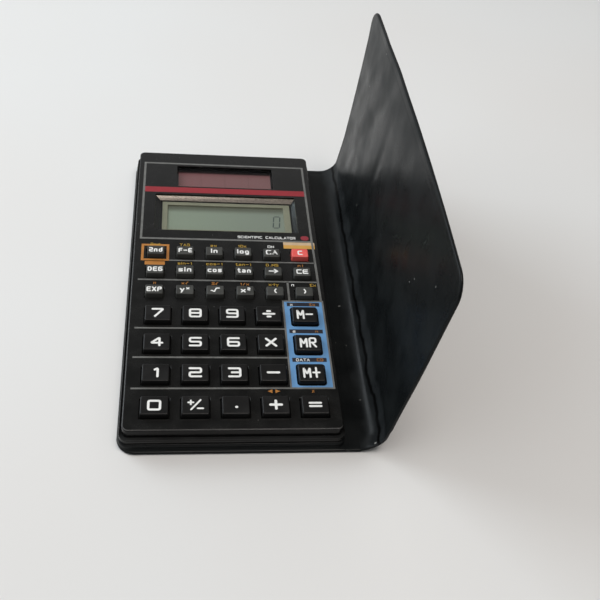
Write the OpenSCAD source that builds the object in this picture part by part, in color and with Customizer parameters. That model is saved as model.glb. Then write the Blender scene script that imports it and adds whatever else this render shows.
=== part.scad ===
// Pocket scientific calculator lying in its open vinyl wallet.
// The origin is on the table under the middle of the calculator. +Y points away from the user,
// +X to the right, towards the wallet's spine and flap, and +Z up. Millimetres throughout.

/* [Calculator body] */
// Margin of the face beside the key blocks
side_margin = 4.89; // [4.5:0.01:8]
// Margin of the face below the last row of keys
near_margin = 4.5; // [4:0.1:9]
// Margin of the face above the solar opening
far_margin = 8.4; // [5:0.1:14]
// Corner radius of the face, seen from above
corner_r = 2; // [1.6:0.1:4]
// How far the foot flange stands out of the face's outline
flange_out = 1; // [0.7:0.1:1.6]
// Height of each half of the foot flange, above and below the parting line
flange_half_h = 1; // [0.7:0.1:1.2]
// Height of the parting line above the calculator's back
parting_h = 3.6; // [3.4:0.1:4]
// Width of the groove between the two halves at the parting line
parting_gap = 0.1; // [0.05:0.05:0.3]
// Wall thickness of both cases
case_wall = 1.2; // [0.9:0.1:1.4]
// Thickness of the rear case's floor
floor_t = 1.1; // [0.9:0.1:1.3]
// How far the rear case's foot rib stands out under the wallet's lip
rib_out = 0.5; // [0.3:0.1:0.6]

/* [Face plate] */
// Thickness of the printed face plate
plate_t = 0.5; // [0.3:0.1:0.7]
// Height and width of the small step round the face plate's top edge
plate_step = 0.25; // [0.1:0.05:0.3]

/* [Large keys] */
// Width of a large key's cap
main_key_w = 9.1; // [8.6:0.1:9.3]
// Length of a large key's cap
main_key_l = 7.3; // [6.8:0.1:7.8]
// Distance between large key columns
main_pitch_x = 12.98; // [12.2:0.02:15]
// Distance between large key rows
main_pitch_y = 12.95; // [12.2:0.05:15]
// Middle of the large key block, across
main_mid_x = 0.5; // [0:0.1:1]

/* [Small keys] */
// Width of a small key's cap
small_key_w = 6.5; // [6:0.1:7]
// Length of a small key's cap
small_key_l = 4.6; // [4.2:0.1:5]
// Distance between small key rows
small_pitch_y = 10; // [9.6:0.1:12]
// Middle of the small key block, across
small_mid_x = 0.15; // [-0.2:0.05:0.5]
// Gap between the block of small keys and the block of large keys
block_gap = 5.15; // [4:0.05:8]

/* [Key mechanism] */
// How far a key's top stands above the face
key_rise = 2; // [1.6:0.1:2.4]
// How far a key's cap narrows from the face to its top, on each side
key_draft = 0.15; // [0.05:0.05:0.3]
// Width and height of the bevel round a key's top
key_edge = 0.2; // [0.1:0.05:0.4]
// How far a key travels when it is pressed
key_travel = 0.8; // [0.5:0.1:0.9]
// Gap between a key and the hole that guides it, all round
key_gap = 0.3; // [0.2:0.05:0.4]
// How far the ledge that stops a key from lifting out reaches past its hole
key_ledge = 0.5; // [0.3:0.1:0.6]
// Thickness of that ledge
key_ledge_t = 0.75; // [0.6:0.05:0.9]
// Free play of the ledge under the case
key_play = 0.05; // [0.03:0.01:0.1]
// Length of the plunger under the ledge
plunger_l = 0.6; // [0.4:0.1:0.8]
// Radius of the plunger
plunger_r = 1.2; // [0.9:0.1:1.4]
// Room left under a rubber dome's top when its key is down
dome_room = 0.2; // [0.1:0.05:0.3]
// Radius of a rubber dome at its foot
dome_r = 2.4; // [2:0.1:2.6]
// Wall of a rubber dome
dome_wall = 0.45; // [0.3:0.05:0.6]
// Thickness of the rubber contact sheet
sheet_t = 0.5; // [0.4:0.1:0.7]

/* [Display] */
// Width of the display opening in the face
display_w = 56.4; // [52:0.2:60]
// Length of the display opening
display_l = 21; // [18:0.2:26]
// Gap between the small keys and the display opening
display_gap = 10.8; // [9:0.1:14]
// Depth of the bezel's flat frame below the face
display_depth = 2.4; // [2.2:0.1:2.6]
// Thickness of that frame, which lies over the edge of the cell
frame_t = 0.6; // [0.4:0.1:0.7]
// Width of the view inside the frame
view_w = 46.8; // [42:0.2:50]
// Length of the view inside the frame
view_l = 15; // [12:0.2:16]
// How far the bezel's side slopes run in
bezel_run_x = 2; // [1:0.1:2.4]
// How far the bezel's end slopes run in
bezel_run_y = 0.8; // [0.4:0.1:1.2]
// Wall of the bezel round the cell
bezel_wall = 1.2; // [0.9:0.1:1.4]
// Thickness of the clear windows
window_t = 0.6; // [0.4:0.1:0.8]
// How far a clear window reaches under the face plate, all round
window_lap = 1; // [0.6:0.1:1.2]
// Thickness of the liquid crystal cell, two sheets of glass
cell_t = 1.1; // [0.9:0.1:1.2]
// Width of the ledge where the cell's lower glass carries its contacts
cell_ledge = 1.6; // [1.2:0.1:2]
// Thickness of the reflector foil
reflector_t = 0.2; // [0.1:0.05:0.3]
// Clearance of a piece that drops into a seat
seat_gap = 0.15; // [0.1:0.05:0.25]

/* [Solar cell] */
// Width of the solar opening in the face
solar_w = 39.6; // [36:0.2:42]
// Length of the solar opening
solar_l = 13; // [11:0.2:14]
// Gap between the display opening and the solar opening
solar_gap = 5; // [4.5:0.1:8]
// Depth of the solar cell below the face
solar_depth = 2.4; // [2.3:0.1:2.6]
// Thickness of the solar cell's glass
solar_t = 1.1; // [0.8:0.1:1.3]
// How far the solar cell reaches under its opening, all round
solar_lap = 1; // [0.8:0.1:1.2]
// Radius of a solar cell lead
lead_r = 0.35; // [0.25:0.05:0.5]
// Distance of a lead from the solar cell's end
lead_inset = 3.8; // [2:0.2:8]

/* [Circuit board] */
// Space between the rear case's floor and the board
under_board = 2; // [1.8:0.1:3]
// Thickness of the circuit board
board_t = 1; // [0.8:0.1:1.2]
// Gap between the board's edge and the case wall
board_edge_gap = 0.4; // [0.3:0.1:0.8]
// Side of the square processor chip
chip_w = 12; // [10:0.5:14]
// Thickness of the processor chip
chip_t = 1.2; // [0.9:0.1:1.3]
// Number of legs on each side of the chip
chip_legs = 9; // [5:1:11]
// Thickness of a chip leg
leg_t = 0.2; // [0.15:0.05:0.3]
// How far a leg reaches out of the chip
leg_out = 1; // [0.6:0.1:1.5]
// Gap between the chip's body and the board
chip_gap = 0.1; // [0.05:0.05:0.2]
// Length of a chip capacitor
cap_l = 2; // [1.6:0.1:2.4]
// Width of a chip capacitor
cap_w = 1.2; // [0.8:0.1:1.6]
// Height of a chip capacitor
cap_t = 1; // [0.6:0.1:1.2]
// Length of a chip resistor
resistor_l = 1.6; // [1.2:0.1:2.4]
// Width of a chip resistor
resistor_w = 0.8; // [0.6:0.1:1.2]
// Height of a chip resistor
resistor_t = 0.5; // [0.4:0.1:0.8]
// Number of chip capacitors, and of resistors
chip_parts = 5; // [2:1:7]
// Distance between neighbours in those rows, and between the rows
chip_part_pitch = 4; // [3.5:0.5:5]
// Radius of a storage capacitor
storage_r = 3.2; // [2.6:0.1:3.6]
// Height of a storage capacitor
storage_t = 1.4; // [1:0.1:1.6]
// Distance between the two storage capacitors
storage_spacing = 24; // [16:0.5:30]
// Length of the diode
diode_l = 3.4; // [2.8:0.1:4]
// Width of the diode
diode_w = 1.6; // [1.2:0.1:2]
// Height of the diode
diode_t = 1.1; // [0.8:0.1:1.3]

/* [Screws] */
// Shank radius of every screw
screw_r = 0.7; // [0.6:0.05:0.8]
// How much smaller the moulded pilot hole is than the shank, on the radius
thread_bite = 0.08; // [0.04:0.02:0.12]
// Gap between a shank and a hole that it passes through, on the radius
pass_gap = 0.3; // [0.2:0.05:0.4]
// Head radius of every screw
head_r = 1.3; // [1.2:0.05:1.4]
// Head thickness of a case screw
head_t = 0.6; // [0.4:0.05:0.7]
// Head thickness of a board screw
board_head_t = 0.5; // [0.4:0.05:0.7]
// Radius of the bosses that take the screws
boss_r = 1.5; // [1.4:0.05:1.6]
// Space left beyond a screw's tip, up to the face plate
tip_gap = 1.8; // [1.4:0.1:2.2]

/* [Wallet] */
// Thickness of the welded vinyl leaf, spine and flap
vinyl_t = 1.2; // [1:0.1:1.5]
// How far the wallet reaches past the face at each end
wallet_end = 2.9; // [2.7:0.1:8]
// Margin of the back leaf outside the rim
leaf_margin = 0.6; // [0.3:0.1:2]
// Corner radius of the back leaf
leaf_corner_r = 6; // [4:0.5:8]
// Corner radius of the flap's free corners
flap_corner_r = 7; // [5:0.5:12]
// Gap between the calculator and the vinyl that it slides on and in
slide_gap = 0.1; // [0.1:0.05:0.2]
// Gap between the rim's wall and the calculator's foot rib
rim_gap = 0.2; // [0.15:0.05:0.3]
// Thickness of the rim's upright wall
rim_wall = 0.7; // [0.6:0.1:0.9]
// Thickness of the rim's lip
lip_t = 0.6; // [0.4:0.1:0.7]
// Gap between the lip and the rib under it
lip_gap = 0.3; // [0.2:0.05:0.4]
// Gap between the standing spine and the rim when the wallet is shut
spine_gap = 0.2; // [0.15:0.05:0.5]
// Space left between the key tops and the shut flap
shut_gap = 0.4; // [0.3:0.1:1]
// How far the flap reaches past the back leaf when it is shut
flap_over = 5.5; // [2:0.5:12]
// How far the flap leans outwards from upright as it stands open
flap_lean = 3.5; // [1:0.5:8]
// Radius of the soft roll between the spine and the flap, at mid sheet
roll_r = 6.5; // [5:0.5:8]
// Thickness of the thinned web at a crease
web_t = 0.4; // [0.3:0.1:0.5]
// Half the slit left in the web on the crease line
web_slit = 0.3; // [0.28:0.01:0.4]

/* [Hidden] */
$fn = 48;
eps = 0.01;

// Rows of node names, in the order of the keys on the face
small_names = [
    ["key_second", "key_format", "key_ln", "key_log", "key_clear_all", "key_clear"],
    ["key_degrees", "key_sin", "key_cos", "key_tan", "key_arrow", "key_clear_entry"],
    ["key_exponent", "key_power", "key_root", "key_square", "key_open_bracket", "key_close_bracket"]
];
main_names = [
    ["key_7", "key_8", "key_9", "key_divide", "key_memory_minus"],
    ["key_4", "key_5", "key_6", "key_multiply", "key_memory_recall"],
    ["key_1", "key_2", "key_3", "key_minus", "key_memory_plus"],
    ["key_0", "key_sign", "key_point", "key_plus", "key_equals"]
];
body_names = [
    "upper_case", "face_plate", "display_window", "solar_window", "display_bezel", "lcd_cell",
    "lcd_reflector", "lcd_connector", "solar_cell", "solar_leads", "main_board", "processor_chip",
    "board_components", "contact_sheet", "board_screws", "rear_case", "case_screws",
    "wallet_back", "wallet_rim", "wallet_spine", "wallet_flap"
];

// Heights, from the table upwards
back_z = vinyl_t + slide_gap;
floor_z = back_z + floor_t;
board_z = floor_z + under_board;
board_top_z = board_z + board_t;
sheet_top_z = board_top_z + sheet_t;
dome_h = key_travel + dome_room;
plunger_z = sheet_top_z + dome_h;
ledge_z = plunger_z + plunger_l;
ledge_top_z = ledge_z + key_ledge_t;
deck_z = ledge_top_z + key_play;
deck_top_z = deck_z + case_wall;
face_z = deck_top_z + plate_t;
key_top_z = face_z + key_rise;
parting_z = back_z + parting_h;
flange_top_z = parting_z + flange_half_h;
flange_low_z = parting_z - flange_half_h;

// Stack under the display and the solar window
window_z = deck_top_z - window_t;
frame_z = face_z - display_depth;
cell_top_z = frame_z - frame_t;
cell_z = cell_top_z - cell_t;
glass_t = cell_t / 2;
solar_top_z = face_z - solar_depth;
solar_z = solar_top_z - solar_t;

// Key blocks: both have the same width, and the face grows with them, across and along
small_cols = len(small_names[0]);
small_rows = len(small_names);
main_cols = len(main_names[0]);
main_rows = len(main_names);
block_w = (main_cols - 1) * main_pitch_x + main_key_w;
small_pitch_x = (block_w - small_key_w) / (small_cols - 1);
main_block_l = (main_rows - 1) * main_pitch_y + main_key_l;
small_block_l = (small_rows - 1) * small_pitch_y + small_key_l;
keys_l = main_block_l + block_gap + small_block_l;
face_w = block_w + 2 * side_margin;
face_l = near_margin + keys_l + display_gap + display_l + solar_gap + solar_l + far_margin;
main_low_y = main_key_l / 2 + near_margin - face_l / 2;
small_low_y = main_low_y + main_block_l - main_key_l / 2 + block_gap + small_key_l / 2;
display_y = near_margin + keys_l + display_gap + display_l / 2 - face_l / 2;
solar_y = display_y + display_l / 2 + solar_gap + solar_l / 2;
function small_x(c) = small_mid_x + (c - (small_cols - 1) / 2) * small_pitch_x;
function small_y(r) = small_low_y + (small_rows - 1 - r) * small_pitch_y;
function main_x(c) = main_mid_x + (c - (main_cols - 1) / 2) * main_pitch_x;
function main_y(r) = main_low_y + (main_rows - 1 - r) * main_pitch_y;

// Plan sizes of the display's pieces
pane_w = display_w + 2 * window_lap;
pane_l = display_l + 2 * window_lap;
bezel_w = pane_w + 2 * bezel_wall;
bezel_l = pane_l + 2 * bezel_wall;
cell_w = display_w - 2 * seat_gap;
cell_l = display_l - 2 * seat_gap;
solar_pane_w = solar_w + 2 * window_lap;
solar_pane_l = solar_l + 2 * window_lap;
solar_cell_w = solar_w + 2 * solar_lap;
solar_cell_l = solar_l + 2 * solar_lap;

// The board ends inside the walls, and the contact sheet covers the keys
board_w = face_w - 2 * case_wall - 2 * board_edge_gap;
board_l = face_l - 2 * case_wall - 2 * board_edge_gap;
keypad_top_y = small_y(0) + small_key_l / 2 + key_gap + key_ledge;
keypad_low_y = main_low_y - main_key_l / 2 - key_gap - key_ledge;

// Screw places: the case screws stand in the gaps between the key rows and in the far corners,
// and the board screws in the gaps above the small keys and between the large keys
side_x = face_w / 2 - case_wall - boss_r - board_edge_gap;
far_y = face_l / 2 - case_wall - boss_r - board_edge_gap;
row_gap_small_y = (small_y(1) + small_y(2)) / 2;
row_gap_low_y = (main_y(2) + main_y(3)) / 2;
row_gap_top_y = (main_y(0) + main_y(1)) / 2;
above_keys_y = (keypad_top_y + display_y - bezel_l / 2) / 2;
case_screw_spots = [
    for (s = [-1, 1]) [s * side_x, far_y],
    for (s = [-1, 1]) [s * side_x, row_gap_small_y],
    for (s = [-1, 1]) [s * side_x, row_gap_low_y]
];
board_screw_spots = [
    for (s = [-1, 1]) [s * side_x, above_keys_y],
    for (s = [-1, 1]) [s * side_x, row_gap_top_y]
];
pilot_r = screw_r - thread_bite;
pass_r = screw_r + pass_gap;
boss_hole_r = boss_r + board_edge_gap;
sink_z = back_z + head_t;
screw_tip_z = deck_top_z - tip_gap;
chip_y = display_y - bezel_l / 2 - chip_w;

// Wallet lines: the rim's walls, the two creases, and the leaf's and the flap's edges
wallet_l = face_l + 2 * wallet_end;
foot_w = face_w + 2 * rib_out;
foot_l = face_l + 2 * rib_out;
rim_in_x = foot_w / 2 + rim_gap;
rim_in_y = foot_l / 2 + rim_gap;
rim_out_x = rim_in_x + rim_wall;
rim_out_y = rim_in_y + rim_wall;
lip_z = floor_z + lip_gap;
lip_in_x = face_w / 2 + rim_gap;
lip_in_y = face_l / 2 + rim_gap;
mid_z = vinyl_t / 2;
crease_x = rim_out_x + spine_gap + vinyl_t / 2;
spine_w = key_top_z + shut_gap + vinyl_t / 2 - mid_z;
corner_x = crease_x + spine_w;
leaf_left_x = -rim_out_x - leaf_margin;
flap_w = crease_x - leaf_left_x + flap_over;
crease_land = vinyl_t / 2 + spine_gap;
rise_angle = 90 - flap_lean;
roll_reach = roll_r * tan(rise_angle / 2);
roll_x = corner_x - roll_reach;

// A flat outline with true round corners
module round_rect(w, l, r) {
    square([w - 2 * r, l], center = true);
    square([w, l - 2 * r], center = true);
    for (x = [-1, 1], y = [-1, 1])
        translate([x * (w / 2 - r), y * (l / 2 - r)]) circle(r);
}

// A slab with that outline, from z0 to z1
module slab(w, l, r, z0, z1) {
    translate([0, 0, z0]) linear_extrude(z1 - z0) round_rect(w, l, r);
}

// A square-cornered block centred at x, y, from z0 to z1
module block(w, l, z0, z1, x = 0, y = 0) {
    translate([x - w / 2, y - l / 2, z0]) cube([w, l, z1 - z0]);
}

// Upright cylinder from z0 to z1 at a spot
module post(r, z0, z1, spot) {
    translate([spot[0], spot[1], z0]) cylinder(h = z1 - z0, r = r);
}

// Room for a boss in the board or the contact sheet, open to the nearer long edge
module boss_notch(z0, z1, spot) {
    reach = board_w / 2 - abs(spot[0]) + eps;
    post(boss_hole_r, z0, z1, spot);
    block(reach, 2 * boss_hole_r, z0, z1, sign(spot[0]) * (abs(spot[0]) + reach / 2), spot[1]);
}

// Every key hole, from z0 to z1
module key_holes(z0, z1) {
    for (c = [0:small_cols - 1], r = [0:small_rows - 1])
        block(small_key_w + 2 * key_gap, small_key_l + 2 * key_gap, z0, z1, small_x(c), small_y(r));
    for (c = [0:main_cols - 1], r = [0:main_rows - 1])
        block(main_key_w + 2 * key_gap, main_key_l + 2 * key_gap, z0, z1, main_x(c), main_y(r));
}

// The black upper case: deck, skirt with the flange's upper half, and screw bosses
module upper_case() {
    color([0.13, 0.13, 0.14])
    difference() {
        union() {
            difference() {
                union() {
                    slab(face_w, face_l, corner_r, parting_z + parting_gap, deck_top_z);
                    slab(face_w + 2 * flange_out, face_l + 2 * flange_out, corner_r + flange_out / 2,
                         parting_z + parting_gap, flange_top_z);
                }
                block(face_w - 2 * case_wall, face_l - 2 * case_wall, parting_z - eps, deck_z);
            }
            for (s = case_screw_spots) post(boss_r, board_z, deck_z + eps, s);
            for (s = board_screw_spots) post(boss_r, board_top_z, deck_z + eps, s);
            solar_well();
        }
        key_holes(deck_z - eps, face_z);
        block(pane_w, pane_l, deck_z - eps, face_z, 0, display_y);
        block(solar_pane_w, solar_pane_l, window_z, face_z, 0, solar_y);
        block(solar_w, solar_l, solar_top_z - eps, face_z, 0, solar_y);
        for (s = concat(case_screw_spots, board_screw_spots))
            post(pilot_r, board_z - eps, deck_z, s);
    }
}

// Low walls under the deck that the solar cell is glued to
module solar_well() {
    block(solar_cell_w, solar_cell_l, solar_top_z, deck_z + eps, 0, solar_y);
}

// The thin printed plate that makes the face
module face_plate() {
    color([0.15, 0.15, 0.16])
    difference() {
        union() {
            slab(face_w, face_l, corner_r, deck_top_z, face_z - plate_step);
            slab(face_w - 2 * plate_step, face_l - 2 * plate_step, corner_r,
                 face_z - plate_step, face_z);
        }
        key_holes(deck_top_z - eps, face_z + eps);
        block(display_w, display_l, deck_top_z - eps, face_z + eps, 0, display_y);
        block(solar_w, solar_l, deck_top_z - eps, face_z + eps, 0, solar_y);
    }
}

// Clear pane over the display
module display_window() {
    color([0.85, 0.9, 0.9, 0.3])
    block(pane_w - 2 * seat_gap, pane_l - 2 * seat_gap, window_z, deck_top_z, 0, display_y);
}

// Clear pane over the solar cell
module solar_window() {
    color([0.85, 0.9, 0.9, 0.3])
    block(solar_pane_w - 2 * seat_gap, solar_pane_l - 2 * seat_gap, window_z, deck_top_z, 0, solar_y);
}

// Bezel with mitred slopes and a flat frame round the view: it stands on the board, holds the
// cell and carries the pane
module display_bezel() {
    low_w = display_w - 2 * bezel_run_x;
    low_l = display_l - 2 * bezel_run_y;
    color([0.62, 0.58, 0.52])
    translate([0, display_y, 0])
    difference() {
        union() {
            block(bezel_w, bezel_l, board_top_z, deck_z);
            block(pane_w - 2 * seat_gap, pane_l - 2 * seat_gap, deck_z - eps, window_z);
        }
        hull() {
            block(display_w, display_l, window_z, window_z + eps);
            block(low_w, low_l, frame_z, frame_z + eps);
        }
        block(view_w, view_l, cell_top_z - eps, frame_z + eps);
        block(display_w, display_l, board_top_z - eps, cell_top_z);
    }
}

// The liquid crystal cell: an upper glass, and a lower glass that stands out by its contact ledge
module lcd_cell() {
    color([0.49, 0.53, 0.47])
    translate([0, display_y, 0]) {
        block(cell_w, cell_l - cell_ledge, cell_z + glass_t, cell_top_z, 0, cell_ledge / 2);
        block(cell_w, cell_l, cell_z, cell_z + glass_t);
    }
}

// Reflector foil under the cell
module lcd_reflector() {
    color([0.75, 0.76, 0.74])
    block(cell_w, cell_l - 2 * cell_ledge, cell_z - reflector_t, cell_z, 0, display_y);
}

// Conductive rubber strip between the cell's contact ledge and the board, and its plain twin
// under the cell's far end
module lcd_connector() {
    strip_l = cell_ledge - seat_gap;
    color([0.2, 0.2, 0.2])
    for (s = [-1, 1])
        block(cell_w - 2 * cell_ledge, strip_l, board_top_z, cell_z,
              0, display_y + s * (cell_l - strip_l) / 2);
}

// Solar cell glued under its well
module solar_cell() {
    color([0.42, 0.3, 0.33])
    block(solar_cell_w, solar_cell_l, solar_z, solar_top_z, 0, solar_y);
}

// Two short leads from the solar cell down to the board
module solar_leads() {
    color([0.75, 0.2, 0.15])
    for (s = [-1, 1])
        post(lead_r, board_top_z, solar_z, [s * (solar_cell_w / 2 - lead_inset), solar_y]);
}

// Circuit board, cleared round the case bosses and drilled for the board screws
module main_board() {
    color([0.16, 0.36, 0.22])
    difference() {
        block(board_w, board_l, board_z, board_top_z);
        for (s = case_screw_spots) boss_notch(board_z - eps, board_top_z + eps, s);
        for (s = board_screw_spots) post(pass_r, board_z - eps, board_top_z + eps, s);
    }
}

// Square chip under the board, with its legs in rows along all four sides
module processor_chip() {
    leg_pitch = chip_w / (chip_legs + 1);
    leg_root = leg_t;
    color([0.1, 0.1, 0.1])
    translate([0, chip_y, 0]) {
        block(chip_w, chip_w, board_z - chip_t, board_z - chip_gap);
        for (turn = [0:3], i = [1:chip_legs])
            rotate([0, 0, 90 * turn])
            block(leg_out + leg_root, leg_pitch / 2, board_z - leg_t, board_z,
                  chip_w / 2 + (leg_out - leg_root) / 2, i * leg_pitch - chip_w / 2);
    }
}

// Small parts soldered under the board: a row of chip capacitors, a row of resistors, two round
// storage capacitors and a diode
module board_components() {
    color([0.7, 0.55, 0.35]) {
        for (i = [0:chip_parts - 1]) {
            x = (i - (chip_parts - 1) / 2) * chip_part_pitch;
            block(cap_l, cap_w, board_z - cap_t, board_z, x, display_y + chip_part_pitch);
            block(resistor_l, resistor_w, board_z - resistor_t, board_z, x, display_y);
        }
        for (s = [-1, 1]) post(storage_r, board_z - storage_t, board_z, [s * storage_spacing / 2, solar_y]);
        block(diode_l, diode_w, board_z - diode_t, board_z, 0, solar_y);
    }
}

// Rubber sheet with a hollow dome under every key
module contact_sheet() {
    color([0.3, 0.3, 0.32])
    difference() {
        union() {
            translate([-board_w / 2, keypad_low_y, board_top_z])
                cube([board_w, keypad_top_y - keypad_low_y, sheet_t]);
            for (spot = key_spots()) dome(spot, dome_r, plunger_r + dome_wall, sheet_top_z - eps, plunger_z);
        }
        for (spot = key_spots())
            dome(spot, dome_r - dome_wall, plunger_r, board_top_z - eps, plunger_z - dome_wall);
        for (s = concat(case_screw_spots, board_screw_spots))
            boss_notch(board_top_z - eps, sheet_top_z + eps, s);
    }
}
function key_spots() = concat(
    [for (c = [0:small_cols - 1], r = [0:small_rows - 1]) [small_x(c), small_y(r)]],
    [for (c = [0:main_cols - 1], r = [0:main_rows - 1]) [main_x(c), main_y(r)]]
);
module dome(spot, r_low, r_top, z0, z1) {
    translate([spot[0], spot[1], z0]) cylinder(h = z1 - z0, r1 = r_low, r2 = r_top);
}

// Screws up through the board into the upper case
module board_screws() {
    color([0.72, 0.72, 0.74])
    for (s = board_screw_spots) {
        post(head_r, board_z - board_head_t, board_z, s);
        post(screw_r, board_z - eps, screw_tip_z, s);
    }
}

// Rear case: floor with its foot rib, skirt with the flange's lower half, and screw posts
module rear_case() {
    color([0.12, 0.12, 0.13])
    difference() {
        union() {
            difference() {
                union() {
                    slab(foot_w, foot_l, corner_r, back_z, floor_z);
                    slab(face_w, face_l, corner_r, back_z, parting_z);
                    slab(face_w + 2 * flange_out, face_l + 2 * flange_out, corner_r + flange_out / 2,
                         flange_low_z, parting_z);
                }
                block(face_w - 2 * case_wall, face_l - 2 * case_wall, floor_z, parting_z + eps);
            }
            for (s = case_screw_spots) post(boss_r, floor_z - eps, board_z, s);
        }
        for (s = case_screw_spots) {
            post(pass_r, back_z - eps, board_z + eps, s);
            post(head_r + pass_gap, back_z - eps, sink_z, s);
        }
    }
}

// Screws up through the back into the upper case's bosses, with their heads sunk in the floor
module case_screws() {
    color([0.72, 0.72, 0.74])
    for (s = case_screw_spots) {
        post(head_r, back_z, sink_z, s);
        post(screw_r, sink_z - eps, screw_tip_z, s);
    }
}

// A small key at column c and row r: the middle of its cap stands in its hole
module small_key(c, r) {
    tint = c == small_cols - 1 && r == 0 ? [0.88, 0.3, 0.28] : [0.3, 0.31, 0.33];
    color(tint) key_shape(small_key_w, small_key_l, small_x(c), small_y(r));
}

// A large key at column c and row r
module main_key(c, r) {
    color([0.12, 0.12, 0.13]) key_shape(main_key_w, main_key_l, main_x(c), main_y(r));
}

// Any key: drafted cap, shaft in the hole, stop ledge and plunger
module key_shape(w, l, x, y) {
    ledge_out = key_gap + key_ledge;
    shrink = 2 * key_draft;
    edge_z = key_top_z - key_edge;
    translate([x, y, 0]) {
        hull() {
            block(w, l, face_z, face_z + eps);
            block(w - shrink, l - shrink, edge_z, edge_z + eps);
            block(w - shrink - 2 * key_edge, l - shrink - 2 * key_edge, key_top_z - eps, key_top_z);
        }
        block(w, l, ledge_top_z - eps, face_z);
        block(w + 2 * ledge_out, l + 2 * ledge_out, ledge_z, ledge_top_z);
        post(plunger_r, plunger_z, ledge_z + eps, [0, 0]);
    }
}

// The outline of the back leaf: rounded on its free side, straight at the crease
module leaf_outline() {
    leaf_w = crease_x - crease_land - leaf_left_x;
    translate([leaf_left_x, -wallet_l / 2]) {
        translate([leaf_corner_r, 0]) square([leaf_w - leaf_corner_r, wallet_l]);
        translate([0, leaf_corner_r]) square([leaf_w, wallet_l - 2 * leaf_corner_r]);
        for (y = [leaf_corner_r, wallet_l - leaf_corner_r])
            translate([leaf_corner_r, y]) circle(leaf_corner_r);
    }
}

// Back leaf on the table, with its thinned web towards the first crease
module wallet_back() {
    color([0.08, 0.1, 0.1]) {
        linear_extrude(vinyl_t) leaf_outline();
        translate([crease_x - crease_land - eps, -wallet_l / 2, mid_z - web_t / 2])
            cube([crease_land - web_slit + eps, wallet_l, web_t]);
    }
}

// Rim welded on the leaf: three walls round the calculator's foot and a lip over its rib.
// It is open at the far end, where the calculator slides out.
module wallet_rim() {
    reach_y = foot_l / 2;
    inner_r = corner_r + rim_gap;
    top_z = lip_z + lip_t;
    color([0.08, 0.1, 0.1])
    difference() {
        slab(2 * rim_out_x, 2 * rim_out_y, inner_r + rim_wall, vinyl_t, top_z);
        slab(2 * rim_in_x, 2 * rim_in_y, inner_r, vinyl_t - eps, lip_z);
        slab(2 * lip_in_x, 2 * lip_in_y, inner_r, lip_z - eps, top_z + eps);
        block(2 * rim_in_x, reach_y, vinyl_t - eps, lip_z, 0, reach_y);
        block(2 * lip_in_x, reach_y, lip_z - eps, top_z + eps, 0, reach_y);
        block(4 * rim_out_x, reach_y, vinyl_t - eps, top_z + eps, 0, 3 * reach_y / 2);
    }
}

// Spine strip beside the calculator, and the soft roll that lifts into the flap
module wallet_spine() {
    color([0.08, 0.1, 0.1]) {
        translate([crease_x + crease_land, -wallet_l / 2, 0])
            cube([roll_x - crease_x - crease_land, wallet_l, vinyl_t]);
        translate([crease_x + web_slit, -wallet_l / 2, mid_z - web_t / 2])
            cube([crease_land - web_slit + eps, wallet_l, web_t]);
        translate([roll_x, wallet_l / 2, mid_z + roll_r]) rotate([90, 0, 0]) rotate([0, 0, -90])
            rotate_extrude(angle = rise_angle)
            translate([roll_r - vinyl_t / 2, 0]) square([vinyl_t, wallet_l]);
    }
}

// Flap standing on the roll, leaning outwards, with its two free corners rounded
module wallet_flap() {
    start = roll_reach + web_slit;
    plain_w = flap_w - start;
    color([0.08, 0.1, 0.1])
    translate([corner_x, 0, mid_z]) rotate([0, -rise_angle, 0])
    translate([start, -wallet_l / 2, -vinyl_t / 2]) linear_extrude(vinyl_t) {
        square([plain_w - flap_corner_r, wallet_l]);
        translate([0, flap_corner_r]) square([plain_w, wallet_l - 2 * flap_corner_r]);
        for (y = [flap_corner_r, wallet_l - flap_corner_r])
            translate([plain_w - flap_corner_r, y]) circle(flap_corner_r);
    }
}

upper_case();
face_plate();
display_window();
solar_window();
display_bezel();
lcd_cell();
lcd_reflector();
lcd_connector();
solar_cell();
solar_leads();
main_board();
processor_chip();
board_components();
contact_sheet();
board_screws();
rear_case();
case_screws();
wallet_back();
wallet_rim();
wallet_spine();
wallet_flap();
for (r = [0:small_rows - 1], c = [0:small_cols - 1])
    small_key(c, r);
for (r = [0:main_rows - 1], c = [0:main_cols - 1])
    main_key(c, r);
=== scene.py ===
"""Looks of a pocket scientific calculator lying in its open vinyl wallet.

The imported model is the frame, and every new piece is worked out here as a surface round it.
Lengths are millimetres in the frame's axes (+X towards the flap, +Y away from the user, +Z up,
origin on the table under the calculator) until a mesh is made, and metres from there on.
"""

from __future__ import annotations

import logging
from dataclasses import dataclass, field, replace
from enum import Enum
from typing import Callable, Sequence

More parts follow.
